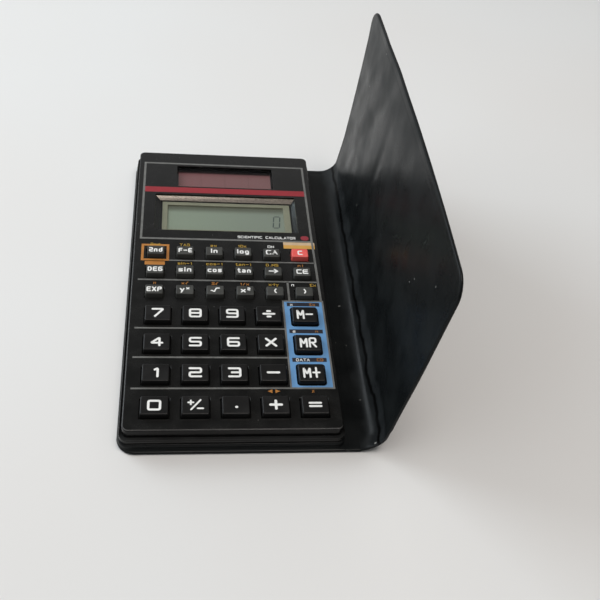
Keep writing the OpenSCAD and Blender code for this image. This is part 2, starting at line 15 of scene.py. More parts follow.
import bpy
import numpy as np
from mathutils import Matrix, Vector

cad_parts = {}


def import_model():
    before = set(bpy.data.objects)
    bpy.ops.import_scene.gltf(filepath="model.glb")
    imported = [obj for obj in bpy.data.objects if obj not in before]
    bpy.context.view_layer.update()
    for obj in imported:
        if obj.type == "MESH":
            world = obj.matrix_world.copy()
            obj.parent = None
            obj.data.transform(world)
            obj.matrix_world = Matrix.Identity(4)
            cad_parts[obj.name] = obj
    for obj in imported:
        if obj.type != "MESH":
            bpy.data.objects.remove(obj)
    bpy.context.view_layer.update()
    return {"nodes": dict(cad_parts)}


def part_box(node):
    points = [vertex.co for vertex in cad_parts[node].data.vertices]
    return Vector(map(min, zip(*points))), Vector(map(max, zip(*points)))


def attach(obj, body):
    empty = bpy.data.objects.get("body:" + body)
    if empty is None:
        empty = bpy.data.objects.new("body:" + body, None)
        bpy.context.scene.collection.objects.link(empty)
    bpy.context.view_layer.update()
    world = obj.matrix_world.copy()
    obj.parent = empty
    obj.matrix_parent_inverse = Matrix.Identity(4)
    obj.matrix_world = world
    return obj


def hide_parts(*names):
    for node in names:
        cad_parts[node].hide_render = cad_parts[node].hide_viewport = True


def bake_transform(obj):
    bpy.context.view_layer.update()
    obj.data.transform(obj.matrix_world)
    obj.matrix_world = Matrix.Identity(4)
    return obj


LOG = logging.getLogger("scene")
MM = 0.001
SHEET_MAP = "Sheet"
SHEET_SCALE = 10 * MM
Pair = tuple[float, float]
Triple = tuple[float, float, float]
Colour = Triple
Surface = Callable[[np.ndarray, np.ndarray], np.ndarray]


class Body(str, Enum):
    """The bodies named for the new pieces, apart from the keys; only the wallet and the calculator
    carry any.
    """

    WALLET = "wallet"
    CALCULATOR = "calculator"
    SPINE = "spine"
    FLAP = "flap"


def paint(*chart: float) -> Colour:
    """A colour from a paint chart, made linear for a shader.

    Args:
        chart: Its red, green and blue, 0 to 255.

    Returns:
        The linear colour.
    """
    share = np.array(chart) / 255
    linear = np.where(share <= 0.04045, share / 12.92, ((share + 0.055) / 1.055) ** 2.4)
    return tuple(float(x) for x in linear)


# Shader expressions


def math_method(operation: str, swapped: bool = False) -> Callable[..., Wire]:
    """A method of Wire that adds one Math node.

    Args:
        operation: The node's operation.
        swapped: Whether the wire comes last, as in 1 - mask.

    Returns:
        The method, which takes the node's other values.
    """

    def method(self: Wire, *others: Wire | float) -> Wire:
        """Adds the node on this wire and the others."""
        values = (*others, self) if swapped else (self, *others)
        return self.tree.node("ShaderNodeMath", {"operation": operation}, dict(enumerate(values)))

    return method


class Wire:
    """An output socket in an expression, so that 1 - mask and mask * 0.3 add their Math nodes."""

    __add__ = math_method("ADD")
    __radd__ = math_method("ADD", swapped=True)
    __sub__ = math_method("SUBTRACT")
    __rsub__ = math_method("SUBTRACT", swapped=True)
    __mul__ = math_method("MULTIPLY")
    __rmul__ = math_method("MULTIPLY", swapped=True)
    __truediv__ = math_method("DIVIDE")
    __abs__ = math_method("ABSOLUTE")
    power = math_method("POWER")
    above = math_method("GREATER_THAN")
    most = math_method("MAXIMUM")
    fraction = math_method("FRACT")

    def __init__(self, tree: Tree, socket: bpy.types.NodeSocket | None) -> None:
        """Wraps a socket of the tree; an output node has none."""
        self.tree, self.socket = tree, socket

    def step(self, low: float, high: float, start: float = 0.0, end: float = 1.0) -> Wire:
        """Goes smoothly from one value to another.

        Args:
            low: Where it starts to change.
            high: Where it has changed.
            start: Its value at low and below.
            end: Its value at high and above.

        Returns:
            The value.
        """
        settings = {"interpolation_type": "SMOOTHSTEP"}
        values = {"Value": self, "From Min": low, "From Max": high, "To Min": start, "To Max": end}
        return self.tree.node("ShaderNodeMapRange", settings, values)


class Tree:
    """The nodes of one material or world, with one method that makes any of them."""

    def __init__(self, holder: bpy.types.Material | bpy.types.World) -> None:
        """Takes over the holder's nodes and empties them.

        Args:
            holder: The material or world.
        """
        holder.use_nodes = True
        self.holder = holder
        self.nodes, self.links = holder.node_tree.nodes, holder.node_tree.links
        self.nodes.clear()

    def node(
        self, kind: str, settings: dict | None = None, values: dict | None = None,
        output: str | int = 0,
    ) -> Wire:  # fmt: skip
        """Adds one node, with its settings first and its sockets after.

        Args:
            kind: The node's type.
            settings: Its own settings.
            values: A value or a Wire for each socket, by name or number.
            output: The output wanted.

        Returns:
            That output.
        """
        made = self.nodes.new(kind)
        for name, value in (settings or {}).items():
            setattr(made, name, value)
        for name, value in (values or {}).items():
            if isinstance(value, Wire):
                self.links.new(value.socket, made.inputs[name])
            else:
                made.inputs[name].default_value = value
        return Wire(self, made.outputs[output] if made.outputs else None)

    def toward(self, way: Wire, direction: Triple) -> Wire:
        """How nearly a way points in a direction.

        Args:
            way: The way, of length one.
            direction: The direction, of any length.

        Returns:
            The cosine of the angle between them.
        """
        ahead = tuple(Vector(direction).normalized())
        settings = {"operation": "DOT_PRODUCT"}
        return self.node("ShaderNodeVectorMath", settings, {0: way, 1: ahead}, "Value")

    def place(self) -> Wire:
        """Where a point lies in the piece's own metres."""
        return self.node("ShaderNodeTexCoord", output="Object")

    def cloth_place(self) -> Wire:
        """Where a point lies on the flat sheet, in decimetres, whatever the fold."""
        return self.node("ShaderNodeUVMap", {"uv_map": SHEET_MAP})

    def part(self, place: Wire, axis: str) -> Wire:
        """One number of a place or a colour."""
        return self.node("ShaderNodeSeparateXYZ", values={0: place}, output=axis)

    def mm(self, axis: str, place: Wire | None = None) -> Wire:
        """One number of a place in millimetres, the piece's own place unless another is given."""
        return self.part(place or self.place(), axis) / MM

    def stretched(self, place: Wire, scale: Triple, turn: float = 0.0) -> Wire:
        """A place with its axes scaled and turned about Z, for a pattern longer one way."""
        values = {"Vector": place, "Scale": scale, "Rotation": (0, 0, turn)}
        return self.node("ShaderNodeMapping", values=values)

    def noise(self, size: float, detail: float = 2.0, place: Wire | None = None) -> Wire:
        """Cloudy noise about 0.5, with clouds of a size in millimetres."""
        values = {"Vector": place or self.place(), "Scale": 1 / (size * MM), "Detail": detail}
        return self.node("ShaderNodeTexNoise", values=values)

    def specks(self, place: Wire, spacing: float, size: float, share: float) -> Wire:
        """Small round specks: 1 on a speck and 0 elsewhere.

        Args:
            place: Where a point lies.
            spacing: Size of the cells that may hold a speck, in millimetres.
            size: A speck's radius as a share of its cell.
            share: Share of the cells that hold one.

        Returns:
            The mask.
        """
        cell = {"Vector": place, "Scale": 1 / (spacing * MM)}
        distance = self.node("ShaderNodeTexVoronoi", values=cell, output="Distance")
        chance = self.part(self.node("ShaderNodeTexVoronoi", values=cell, output="Color"), "X")
        return distance.step(size * 0.6, size, 1.0, 0.0) * chance.above(1 - share)

    def blend(self, share: Wire, first: Colour | Wire, second: Colour | Wire) -> Wire:
        """A colour between two.

        Args:
            share: The second colour's share, 0 to 1.
            first: The colour at 0.
            second: The colour at 1.

        Returns:
            The blend.
        """
        ends = [x if isinstance(x, Wire) else (*x, 1.0) for x in (first, second)]
        return self.node(
            "ShaderNodeMix", {"data_type": "RGBA"}, {0: share, 6: ends[0], 7: ends[1]}, output=2
        )

    def surface(
        self, colour: Wire, rough: Wire, height: Wire, depth: float, more: dict | None = None
    ) -> Wire:
        """Adds the main shader.

        Args:
            colour: Its colour.
            rough: Its roughness.
            height: The relief of its surface, 0 to 1.
            depth: What a height of 1 stands for, in millimetres.
            more: Its other sockets.

        Returns:
            The shader.
        """
        normal = self.node("ShaderNodeBump", values={"Distance": depth * MM, "Height": height})
        values = {"Base Color": colour, "Roughness": rough, "Normal": normal} | (more or {})
        return self.node("ShaderNodeBsdfPrincipled", values=values)

    def finish(self, shader: Wire, kind: str = "Material") -> bpy.types.Material | bpy.types.World:
        """Joins the shader to the output and gives the holder."""
        self.node(f"ShaderNodeOutput{kind}", values={"Surface": shader})
        return self.holder


# Finishes


@dataclass(frozen=True)
class Finish:
    """What every finish has: a name that its material is made once under."""

    name: str

    def nodes(self, tree: Tree) -> Wire:
        """Makes the shader; each finish has its own."""
        raise NotImplementedError

    def material(self) -> bpy.types.Material:
        """Makes the finish's material at its first use.

        Returns:
            The material.
        """
        known = bpy.data.materials.get(self.name)
        if known is not None:
            return known
        tree = Tree(bpy.data.materials.new(self.name))
        return tree.finish(self.nodes(tree))


@dataclass(frozen=True)
class Moulding(Finish):
    """Satin moulded plastic: fine sparked grain, cloudy handling marks and a little dust.

    A painted highlight is a paler band between two heights, on the near side only, where the top
    edge catches the light.
    """

    colour: Colour
    handled: Colour
    roughness: float = 0.42
    grain: float = 0.16
    depth: float = 0.006
    dust: float = 0.05
    dust_colour: Colour = (0.5, 0.5, 0.48)
    shine: float = 0.5
    # edge and edge_colour: heights and colour of a painted highlight along the near top edge
    edge: Pair = (0.0, 0.0)
    edge_colour: Colour = (0.0, 0.0, 0.0)
    near: Pair = (-69.5, -67.0)

    def nodes(self, tree: Tree) -> Wire:
        """Colour from slow clouds and dust, roughness from the clouds, bump from the grain.

        Args:
            tree: The material's nodes.

        Returns:
            The shader.
        """
        cloud = tree.noise(7.0, 4.0).step(0.35, 0.7)
        grain = tree.noise(self.grain, 3.0)
        dust = tree.specks(tree.place(), 1.9, 0.07, self.dust)
        worn = tree.blend(cloud, self.colour, self.handled)
        colour = self.rubbed(tree, tree.blend(dust * 0.35, worn, self.dust_colour))
        rough = self.roughness + (cloud - 0.5) * 0.05 + (grain - 0.5) * 0.12 + dust * 0.3
        return tree.surface(colour, rough, grain, self.depth, {"Specular IOR Level": self.shine})

    def rubbed(self, tree: Tree, colour: Wire) -> Wire:
        """Lays the painted highlight of the near top edge over a colour, a little patchy.

        Args:
            tree: The material's nodes.
            colour: The colour under the painted highlight.

        Returns:
            The colour with the edge on it.
        """
        low, high = self.edge
        if high <= low:
            return colour
        up = tree.mm("Z")
        # painted highlight: a paler band just below the top edge, on the near side only
        band = up.step(low, low + 0.06) * up.step(high - 0.03, high, 1.0, 0.0)
        patchy = tree.noise(9.0).step(0.2, 0.7, 0.6, 1.0)
        near = tree.mm("Y").step(*self.near, 1.0, 0.0)
        return tree.blend(band * near * patchy, colour, self.edge_colour)


@dataclass(frozen=True)
class Ink(Finish):
    """Screen printed ink: a faint mesh of the screen, and thin places that show less colour."""

    colour: Colour
    thin: Colour
    roughness: float = 0.45

    def nodes(self, tree: Tree) -> Wire:
        """Colour from a fine and a slow noise, and bump from the fine one.

        Args:
            tree: The material's nodes.

        Returns:
            The shader.
        """
        fine = tree.noise(0.12)
        share = (fine * 0.5 + tree.noise(2.5) * 0.5).step(0.42, 0.66)
        colour = tree.blend(share, self.colour, self.thin)
        return tree.surface(colour, self.roughness + (fine - 0.5) * 0.2, fine, 0.002)


@dataclass(frozen=True)
class Vinyl(Finish):
    """Soft black vinyl with a low gloss: cloudy handling marks, fine pores and dust specks.

    Along the roll runs a wandering crease, a small step down with a line of painted shade in it,
    and a paler band of painted sheen past it.
    The gloss is worn towards the flap's free edge, along a slant. Places are millimetres on the
    flat sheet.
    """

    colour: Colour
    rubbed: Colour
    # scuff: colour of the painted sheen band past the crease; dark: the painted shade in the
    # crease line
    scuff: Colour = (0.023, 0.0255, 0.027)
    dark: Colour = (0.002, 0.002, 0.002)
    dust: Colour = (0.42, 0.42, 0.4)
    roughness: float = 0.34
    coat: float = 0.17
    coat_roughness: float = 0.25
    shine: float = 0.05
    crease: float = 50.3
    wander: float = 5.0
    line: Pair = (0.3, 1.15)
    band_near: Pair = (-7.5, -5.0)
    band_far: Pair = (3.5, 6.5)
    slant: Pair = (0.75, 0.65)
    worn: Pair = (62.0, 105.0)
    depth: float = 0.55

    def nodes(self, tree: Tree) -> Wire:
        """Slow clouds change colour and gloss; swells, ripples and pores are the bump.

        Args:
            tree: The material's nodes.

        Returns:
            The shader.
        """
        metres = tree.stretched(tree.cloth_place(), (0.1, 0.1, 0.1))
        cloud = tree.noise(13.0, 4.0, tree.stretched(metres, (0.9, 1.0, 1.0), -0.12))
        swell = tree.noise(19.0, 1.3, tree.stretched(metres, (0.9, 1.0, 1.0), -0.5))
        ripple = tree.noise(7.0, 1.2, tree.stretched(metres, (0.8, 1.0, 1.0), 0.4))
        wander = tree.noise(11.0, 4.0, tree.stretched(metres, (0.1, 1.0, 1.0)))
        pore = tree.noise(0.3, 2.0, metres)
        dust = tree.specks(metres, 3.9, 0.07, 0.06)
        lint = tree.specks(tree.stretched(metres, (0.45, 1.0, 1.0), 0.7), 7.0, 0.055, 0.25)
        rub = cloud.step(0.36, 0.68)
        up = tree.mm("X", metres)
        slant = up * self.slant[0] - tree.mm("Y", metres) * self.slant[1]
        worn = (slant + (swell - 0.5) * 60).step(*self.worn, 1.0, 0.45)
        past = up - self.crease + (wander - 0.5) * self.wander
        crease = past.step(-0.5, 0.5)
        # painted shade: a dark line along the crease
        line = abs(past).step(*self.line, 1.0, 0.0)
        ragged = past + (ripple - 0.5) * self.wander
        # painted sheen: a paler band past the crease, where the roll catches the light
        start = ragged.step(*self.band_near, 0.0, 0.6).most(past.step(0.0, 1.5))
        band = start * ragged.step(*self.band_far, 1.0, 0.0)
        spots = dust.most(lint * 0.9)
        cloth = tree.blend(rub, self.colour, self.rubbed)
        with_painted_sheen = tree.blend(band * cloud.step(0.25, 0.75, 0.35, 1.0), cloth, self.scuff)
        colour = tree.blend(spots * 0.6, tree.blend(line, with_painted_sheen, self.dark), self.dust)
        rough = self.roughness + (rub - 0.5) * 0.14 + (pore - 0.5) * 0.06 + spots * 0.3
        height = swell * 0.8 + ripple * 0.1 + pore * 0.01 - crease * 0.1
        return tree.surface(colour, rough, height, self.depth, {
            "Specular IOR Level": self.shine,
            "Coat Weight": self.coat * (1.3 - rub * 0.6) * worn * (1 - line.most(band * 0.45)),
            "Coat Roughness": self.coat_roughness,
        })


@dataclass(frozen=True)
class Pane(Finish):
    """A thin clear acrylic pane: see-through, with a reflection that grows towards the edge on."""

    tint: Colour
    straight: float = 0.045
    glancing: float = 0.9
    steepness: float = 5.0

    def nodes(self, tree: Tree) -> Wire:
        """Mixes clear and gloss by how much the pane reflects: more by a high power of its tilt.

        Args:
            tree: The material's nodes.

        Returns:
            The shader.
        """
        facing = tree.node("ShaderNodeLayerWeight", values={"Blend": 0.5}, output="Facing")
        glance = self.straight + facing.power(self.steepness) * self.glancing
        clear = tree.node("ShaderNodeBsdfTransparent", values={"Color": (*self.tint, 1.0)})
        gloss = tree.node("ShaderNodeBsdfPrincipled", values={
            "Base Color": (0.02, 0.02, 0.02, 1.0),
            "Roughness": 0.04 + tree.noise(6.0, 3.0) * 0.06,
            "Specular IOR Level": 1.0,
        })
        return tree.node("ShaderNodeMixShader", values={0: glance, 1: clear, 2: gloss})


@dataclass(frozen=True)
class Trim(Finish):
    """Thin pale metallic film, a little cloudy and finely scratched; laid only on the bezel's far
    slope, as a painted highlight.
    """

    colour: Colour
    cloudy: Colour
    metal: float = 0.75
    roughness: float = 0.3

    def nodes(self, tree: Tree) -> Wire:
        """Clouds change the colour, and fine scratches along the slope the roughness.

        Args:
            tree: The material's nodes.

        Returns:
            The shader.
        """
        cloud = tree.noise(4.0, 3.0).step(0.35, 0.7)
        scratch = tree.noise(0.15, 2.0, tree.stretched(tree.place(), (0.15, 1.0, 1.0)))
        colour = tree.blend(cloud, self.colour, self.cloudy)
        rough = self.roughness + (scratch - 0.5) * 0.25
        return tree.surface(colour, rough, scratch, 0.003, {"Metallic": self.metal})


@dataclass(frozen=True)
class Crystal(Finish):
    """The display cell: grey-green film, bluish to one side, with a painted shadow of the frame
    along its far edge and faintly at its sides.
    """

    colour: Colour
    bluish: Colour
    rim: Colour
    # rim: colour of the painted shadow under the frame's edge
    middle: Pair
    half: Pair
    far_rim: Pair = (4.2, 1.0)
    side_rim: float = 1.2

    def nodes(self, tree: Tree) -> Wire:
        """The painted shadow darkens the colour where a point is near the frame's far edge or its
        sides.

        Args:
            tree: The material's nodes.

        Returns:
            The shader.
        """
        w, l = self.half
        across, along = tree.mm("X") - self.middle[0], tree.mm("Y") - self.middle[1]
        film = tree.noise(0.1)
        side = across.step(-w, w) * 0.8 + tree.noise(9.0) * 0.2
        base = tree.blend(side, self.colour, self.bluish)
        # painted shadow of the frame: strong at the far edge, faint at the sides
        far = along.step(l - self.far_rim[0], l - self.far_rim[1], 0.0, 0.95)
        left = across.step(-w + self.side_rim, -w, 0.0, 0.15)
        right = across.step(w - self.side_rim, w, 0.0, 0.1)
        colour = tree.blend(far.most(left).most(right), base, self.rim)
        return tree.surface(colour, 0.32 + (film - 0.5) * 0.15, film, 0.001)


@dataclass(frozen=True)
class SunCell(Finish):
    """Amorphous silicon behind glass: brown-violet strips, faint lines, black edges at the sides
    and a painted shadow of the recess along the far edge.
    """

    colour: Colour
    other: Colour
    line: Colour
    strips: int
    middle: Pair
    half: Pair
    # border: width of the black side edges, then width of the painted shadow at the far edge
    border: Pair

    def nodes(self, tree: Tree) -> Wire:
        """A line is where the strip's share is near its end; the black edges are near the sides,
        and the painted shadow near the far edge.

        Args:
            tree: The material's nodes.

        Returns:
            The shader.
        """
        w, l = self.half
        across, along = tree.mm("X") - self.middle[0], tree.mm("Y") - self.middle[1]
        strip = across * (self.strips / 2 / w) + self.strips / 2
        line = abs(strip.fraction() - 0.5).step(0.48, 0.495)
        cloud = tree.noise(5.0, 3.0)
        cell = tree.blend(across.step(-w, w) * 0.6 + cloud * 0.4, self.colour, self.other)
        # black side edges, and a painted shadow of the recess wall along the far edge
        side_x, far_y = w - self.border[0], l - self.border[1]
        side, far = abs(across).step(side_x, side_x + 0.25), along.step(far_y - 1.1, far_y + 0.2)
        colour = tree.blend(side.most(far).most(line * 0.25), cell, self.line)
        coat = {"Coat Weight": 0.4, "Coat Roughness": 0.08}
        return tree.surface(colour, 0.25 + cloud * 0.1, cloud, 0.002, coat)


@dataclass(frozen=True)
class Metal(Finish):
    """Plain metal or foil with a fine brushed grain and dull spots."""

    colour: Colour
    dull: Colour
    roughness: float = 0.35

    def nodes(self, tree: Tree) -> Wire:
        """A stretched noise is the grain, and a slow one the dull spots.

        Args:
            tree: The material's nodes.

        Returns:
            The shader.
        """
        grain = tree.noise(0.1, 2.0, tree.stretched(tree.place(), (1.0, 0.1, 1.0)))
        spot = tree.noise(1.8, 3.0).step(0.5, 0.7)
        colour = tree.blend(spot, self.colour, self.dull)
        rough = self.roughness + (grain - 0.5) * 0.2 + spot * 0.15
        return tree.surface(colour, rough, grain, 0.003, {"Metallic": 1.0})


@dataclass(frozen=True)
class Laminate(Finish):
    """Green lacquered circuit laminate with its weave and fine copper tracks under the lacquer."""

    colour: Colour
    track: Colour
    track_pitch: float = 2.4
    weave_pitch: float = 3.2

    def nodes(self, tree: Tree) -> Wire:
        """Tracks follow steep changes of a coarse noise, and a fine wave is the weave.

        Args:
            tree: The material's nodes.

        Returns:
            The shader.
        """
        cells = {"Vector": tree.place(), "Scale": 1 / (self.track_pitch * MM)}
        square = {"distance": "CHEBYCHEV"}
        run = tree.node("ShaderNodeTexVoronoi", square, cells, output="Distance")
        track = abs(run - 0.42).step(0.03, 0.06, 1.0, 0.0)
        wave = {"Vector": tree.place(), "Scale": 1 / (self.weave_pitch * MM), "Distortion": 1.5}
        weave = tree.node("ShaderNodeTexWave", values=wave)
        colour = tree.blend(track, self.colour, self.track)
        return tree.surface(colour, 0.3 + weave * 0.12, weave * 0.4 + track * 0.6, 0.02)


@dataclass(frozen=True)
class Paper(Finish):
    """The pale table: slow warm clouds and a faint paper tooth."""

    colour: Colour
    warmth: Colour = (0.985, 0.97, 0.96)

    def nodes(self, tree: Tree) -> Wire:
        """Colour from the clouds, roughness and bump from the tooth.

        Args:
            tree: The material's nodes.

        Returns:
            The shader.
        """
        cloud = tree.noise(180.0).step(0.3, 0.7)
        tooth = tree.noise(0.8, 3.0)
        warm = tuple(c * w for c, w in zip(self.colour, self.warmth))
        colour, rough = tree.blend(cloud, self.colour, warm), 0.75 + (tooth - 0.5) * 0.1
        return tree.surface(colour, rough, tooth, 0.01, {"Specular IOR Level": 0.25})


# The edge bands of the case, lower case and face are painted highlights along their near top
# edges.
CASE = Moulding(
    "finish_case", (0.004, 0.004, 0.0041), (0.006, 0.006, 0.0061), 0.2,
    shine=0.1, edge=(5.6, 5.97), edge_colour=(0.022, 0.023, 0.023),
)  # fmt: skip
LOWER_CASE = replace(
    CASE, name="finish_lower_case", edge=(4.55, 4.95), edge_colour=(0.04, 0.041, 0.041)
)
FACE = Moulding(
    "finish_face", (0.006, 0.0062, 0.006), (0.0082, 0.0084, 0.0081), 0.25, 0.11, 0.003,
    shine=0.34, edge=(9.72, 9.98), edge_colour=(0.095, 0.096, 0.095),
)  # fmt: skip
BLACK_KEY = Moulding("finish_black_key", (0.006,) * 3, (0.009,) * 3, 0.36, shine=0.24)
GREY_KEY = Moulding("finish_grey_key", paint(60, 61, 59), paint(71, 72, 70), 0.36, shine=0.16)
RED_KEY = Moulding("finish_red_key", paint(218, 84, 80), paint(228, 98, 92), dust=0.0)
BEZEL = Moulding("finish_bezel", paint(156, 153, 131), paint(149, 146, 126), 0.5, 0.14, 0.004)
# Dark plastic on the bezel's side slopes and groove: painted shade.
BEZEL_PAINTED_SHADE = Moulding("finish_bezel_painted_shade", paint(34, 33, 34), paint(40, 39, 40), 0.34, 0.14, 0.004)
RUBBER = Moulding("finish_rubber", (0.06, 0.06, 0.065), (0.075, 0.075, 0.08), 0.6, 0.25, 0.01)
RESIN = Moulding("finish_resin", (0.015,) * 3, (0.03,) * 3, 0.55, 0.2, 0.01)
CERAMIC = Moulding("finish_ceramic", (0.42, 0.28, 0.14), (0.5, 0.36, 0.2), 0.5, 0.2)
SLEEVE = Moulding("finish_sleeve", (0.5, 0.04, 0.03), (0.6, 0.08, 0.06), 0.45, 0.2, 0.004)
# Pale metal film on the bezel's far slope: a painted highlight.
CHAMPAGNE_PAINTED_HIGHLIGHT = Trim("finish_champagne_painted_highlight", (0.27, 0.22, 0.19), (0.235, 0.19, 0.168))
STEEL = Metal("finish_steel", (0.56, 0.56, 0.57), (0.42, 0.42, 0.42))
FOIL = Metal("finish_foil", (0.7, 0.71, 0.7), (0.6, 0.6, 0.6), 0.45)
BOARD = Laminate("finish_board", (0.03, 0.15, 0.06), (0.05, 0.24, 0.09))
VINYL = Vinyl("finish_vinyl", (0.0052, 0.0062, 0.0066), (0.0095, 0.011, 0.0114))
CLEAR = Pane("finish_clear_pane", (0.93, 0.95, 0.95))
TABLE = Paper("finish_floor", (0.73, 0.745, 0.745))
LCD_INK = Ink("ink_crystal", paint(74, 84, 82), paint(84, 94, 90), 0.4)
SILVER_INK = Ink("ink_silver", paint(108, 109, 107), paint(88, 89, 87), 0.42)
WHITE_INK = Ink("ink_white", paint(232, 234, 232), paint(218, 220, 218), 0.5)
RED_INK = Ink("ink_red", paint(143, 30, 42), paint(134, 28, 38), 0.42)
BLUE_INK = Ink("ink_blue", paint(94, 144, 192), paint(102, 150, 196), 0.42)
ORANGE_INK = Ink("ink_orange", paint(176, 116, 48), paint(160, 104, 42))
YELLOW_INK = Ink("ink_yellow", paint(180, 146, 52), paint(160, 128, 44))
GOLD_INK = Ink("ink_gold", paint(198, 152, 72), paint(188, 142, 64))
CREAM_INK = Ink("ink_cream", paint(196, 172, 140), paint(186, 162, 130))
BLACK_INK = Ink("ink_black", (0.012, 0.012, 0.02), (0.018, 0.018, 0.026), 0.42)
DARK_RED_INK = Ink("ink_dark_red", paint(140, 40, 52), paint(120, 34, 46))


# Surfaces


def rounded_ring(half_x: float, half_y: float, radius: float, steps: int = 6) -> np.ndarray:
    """Points round a rounded rectangle, anticlockwise.

    Each corner is a quarter circle about a centre set in from the corner by its radius.

    Args:
        half_x: Half the width.
        half_y: Half the length.
        radius: Corner radius.
        steps: Points on each corner.

    Returns:
        4 * steps points, x and y.
    """
    turn = np.radians((np.arange(4)[:, None] * 90 + np.linspace(0, 90, steps)).ravel())
    side_x = np.repeat([1, -1, -1, 1], steps)
    side_y = np.repeat([1, 1, -1, -1], steps)
    x = (half_x - radius) * side_x + radius * np.cos(turn)
    y = (half_y - radius) * side_y + radius * np.sin(turn)
    return np.stack([x, y], axis=1)


def ring_stack(levels: Sequence[tuple[float, float, float, float]], steps: int = 6) -> np.ndarray:
    """Rounded rectangles stacked one above the other.

    Args:
        levels: Half width, half length, corner radius and height of each ring.
        steps: Points on each corner.

    Returns:
        An array of rings by points by x, y, z.
    """
    return np.stack([at_height(rounded_ring(a, b, r, steps), z) for a, b, r, z in levels])


def smooth(low: float, high: float, x: np.ndarray) -> np.ndarray:
    """0 below low, 1 above high, and a smooth 3t^2 - 2t^3 between."""
    t = np.clip((x - low) / (high - low), 0, 1)
    return t * t * (3 - 2 * t)


def at_height(ring: np.ndarray, z: float) -> np.ndarray:
    """Points in a plane, x and y, lifted to one height."""
    return np.column_stack([ring, np.full(len(ring), z)])


def quads(index: np.ndarray) -> np.ndarray:
    """Faces over a grid of point numbers, each point with its upper, upper right and right one."""
    corners = [index[:-1, :-1], index[1:, :-1], index[1:, 1:], index[:-1, 1:]]
    return np.stack(corners, axis=-1).reshape(-1, 4)


@dataclass
class Build:
    """Points and faces of one piece, gathered before its mesh is made."""

    points: list[np.ndarray] = field(default_factory=list)
    faces: list[list[int]] = field(default_factory=list)
    coats: list[int] = field(default_factory=list)
    count: int = 0

    def add(self, points: np.ndarray, faces: list[list[int]]) -> None:
        """Adds a surface whose faces number its own points from 0.

        Args:
            points: x, y, z of each point.
            faces: Point numbers of each face.
        """
        self.points.append(points.reshape(-1, 3))
        self.faces += [[self.count + i for i in face] for face in faces]
        self.coats += [0] * len(faces)
        self.count += points.size // 3

    def skin(self, grid: np.ndarray, closed: bool = False) -> None:
        """Adds the surface over a grid of points, rows along a path and columns round a profile.

        Each point is joined with its right, upper right and upper neighbours. The volume that
        the faces enclose, the sum of their cone volumes from the origin, gives the side that is
        out; where it comes out negative, every face is turned over.

        Args:
            grid: Rows by columns by x, y, z; the last column joins the first.
            closed: Whether the last row joins the first, and else flat faces close both ends.
        """
        rows, columns = grid.shape[:2]
        index = np.arange(rows * columns).reshape(rows, columns)
        ends = [index[0][::-1].tolist(), index[-1].tolist()]
        index = np.concatenate([index, index[:, :1]], axis=1)
        if closed:
            index = np.concatenate([index, index[:1]], axis=0)
        flat = grid.reshape(-1, 3)
        faces = quads(index)[:, [0, 3, 2, 1]].tolist() + ([] if closed else ends)
        if enclosed(flat, faces) < 0:
            faces = [face[::-1] for face in faces]
        self.add(flat, faces)

    def piece(self, name: str, *finishes: Finish, sharp: float = 40.0) -> bpy.types.Object:
        """Makes the piece's object, at the origin, in metres.

        Args:
            name: The piece's name.
            finishes: Its finishes, in the order of the coats.
            sharp: Angle in degrees past which an edge shows as an edge.

        Returns:
            The object.
        """
        mesh = bpy.data.meshes.new(name)
        mesh.from_pydata((np.concatenate(self.points) * MM).tolist(), [], self.faces)
        for finish in finishes:
            mesh.materials.append(finish.material())
        mesh.polygons.foreach_set("material_index", self.coats)
        mesh.shade_smooth()
        mesh.set_sharp_from_angle(angle=np.radians(sharp))
        mesh.update()
        made = bpy.data.objects.new(name, mesh)
        bpy.context.scene.collection.objects.link(made)
        LOG.info("%s: %d faces", name, len(mesh.polygons))
        return made


def enclosed(points: np.ndarray, faces: list[list[int]]) -> float:
    """Six times the volume that a closed surface encloses, negative if it is inside out.

    Each face is a fan of triangles from its first point. What is added up is the triple
    product of each triangle's three points.

    Args:
        points: x, y, z of each point.
        faces: Point numbers of each face.

    Returns:
        The sum of the triple products.
    """
    total = 0.0
    for size in {len(face) for face in faces}:
        group = points[np.array([face for face in faces if len(face) == size])]
        first, middle, last = group[:, :1], group[:, 1:-1], group[:, 2:]
        total += float((first * np.cross(middle, last)).sum())
    return total


def unit(ways: np.ndarray) -> np.ndarray:
    """Directions of length one, one to a row."""
    return ways / np.linalg.norm(ways, axis=1, keepdims=True)


def filleted(points: np.ndarray, radius: float, closed: bool) -> np.ndarray:
    """A path with its corners rounded.

    Each corner becomes a short curve, a blend of three points: one before the corner on the way
    in, the corner itself, and one after it, weighted (1-t)^2, 2t(1-t) and t^2.

    Args:
        points: Corner points, x and y.
        radius: How far before a corner the curve starts, at most 0.45 of a side.
        closed: Whether the path comes back to its start.

    Returns:
        The rounded path.
    """
    if len(points) < 3:
        return points
    core = points if closed else points[1:-1]
    before = np.roll(points, 1, axis=0) if closed else points[:-2]
    after = np.roll(points, -1, axis=0) if closed else points[2:]
    sides = [before - core, after - core]
    length = [np.linalg.norm(s, axis=1, keepdims=True) for s in sides]
    start, end = (core + s / n * np.minimum(radius, 0.45 * n) for s, n in zip(sides, length))
    t = np.linspace(0, 1, 4)[None, :, None]
    curve = start[:, None] * (1 - t) ** 2 + core[:, None] * 2 * t * (1 - t) + end[:, None] * t**2
    curve = curve.reshape(-1, 2)
    return curve if closed else np.vstack([points[:1], curve, points[-1:]])


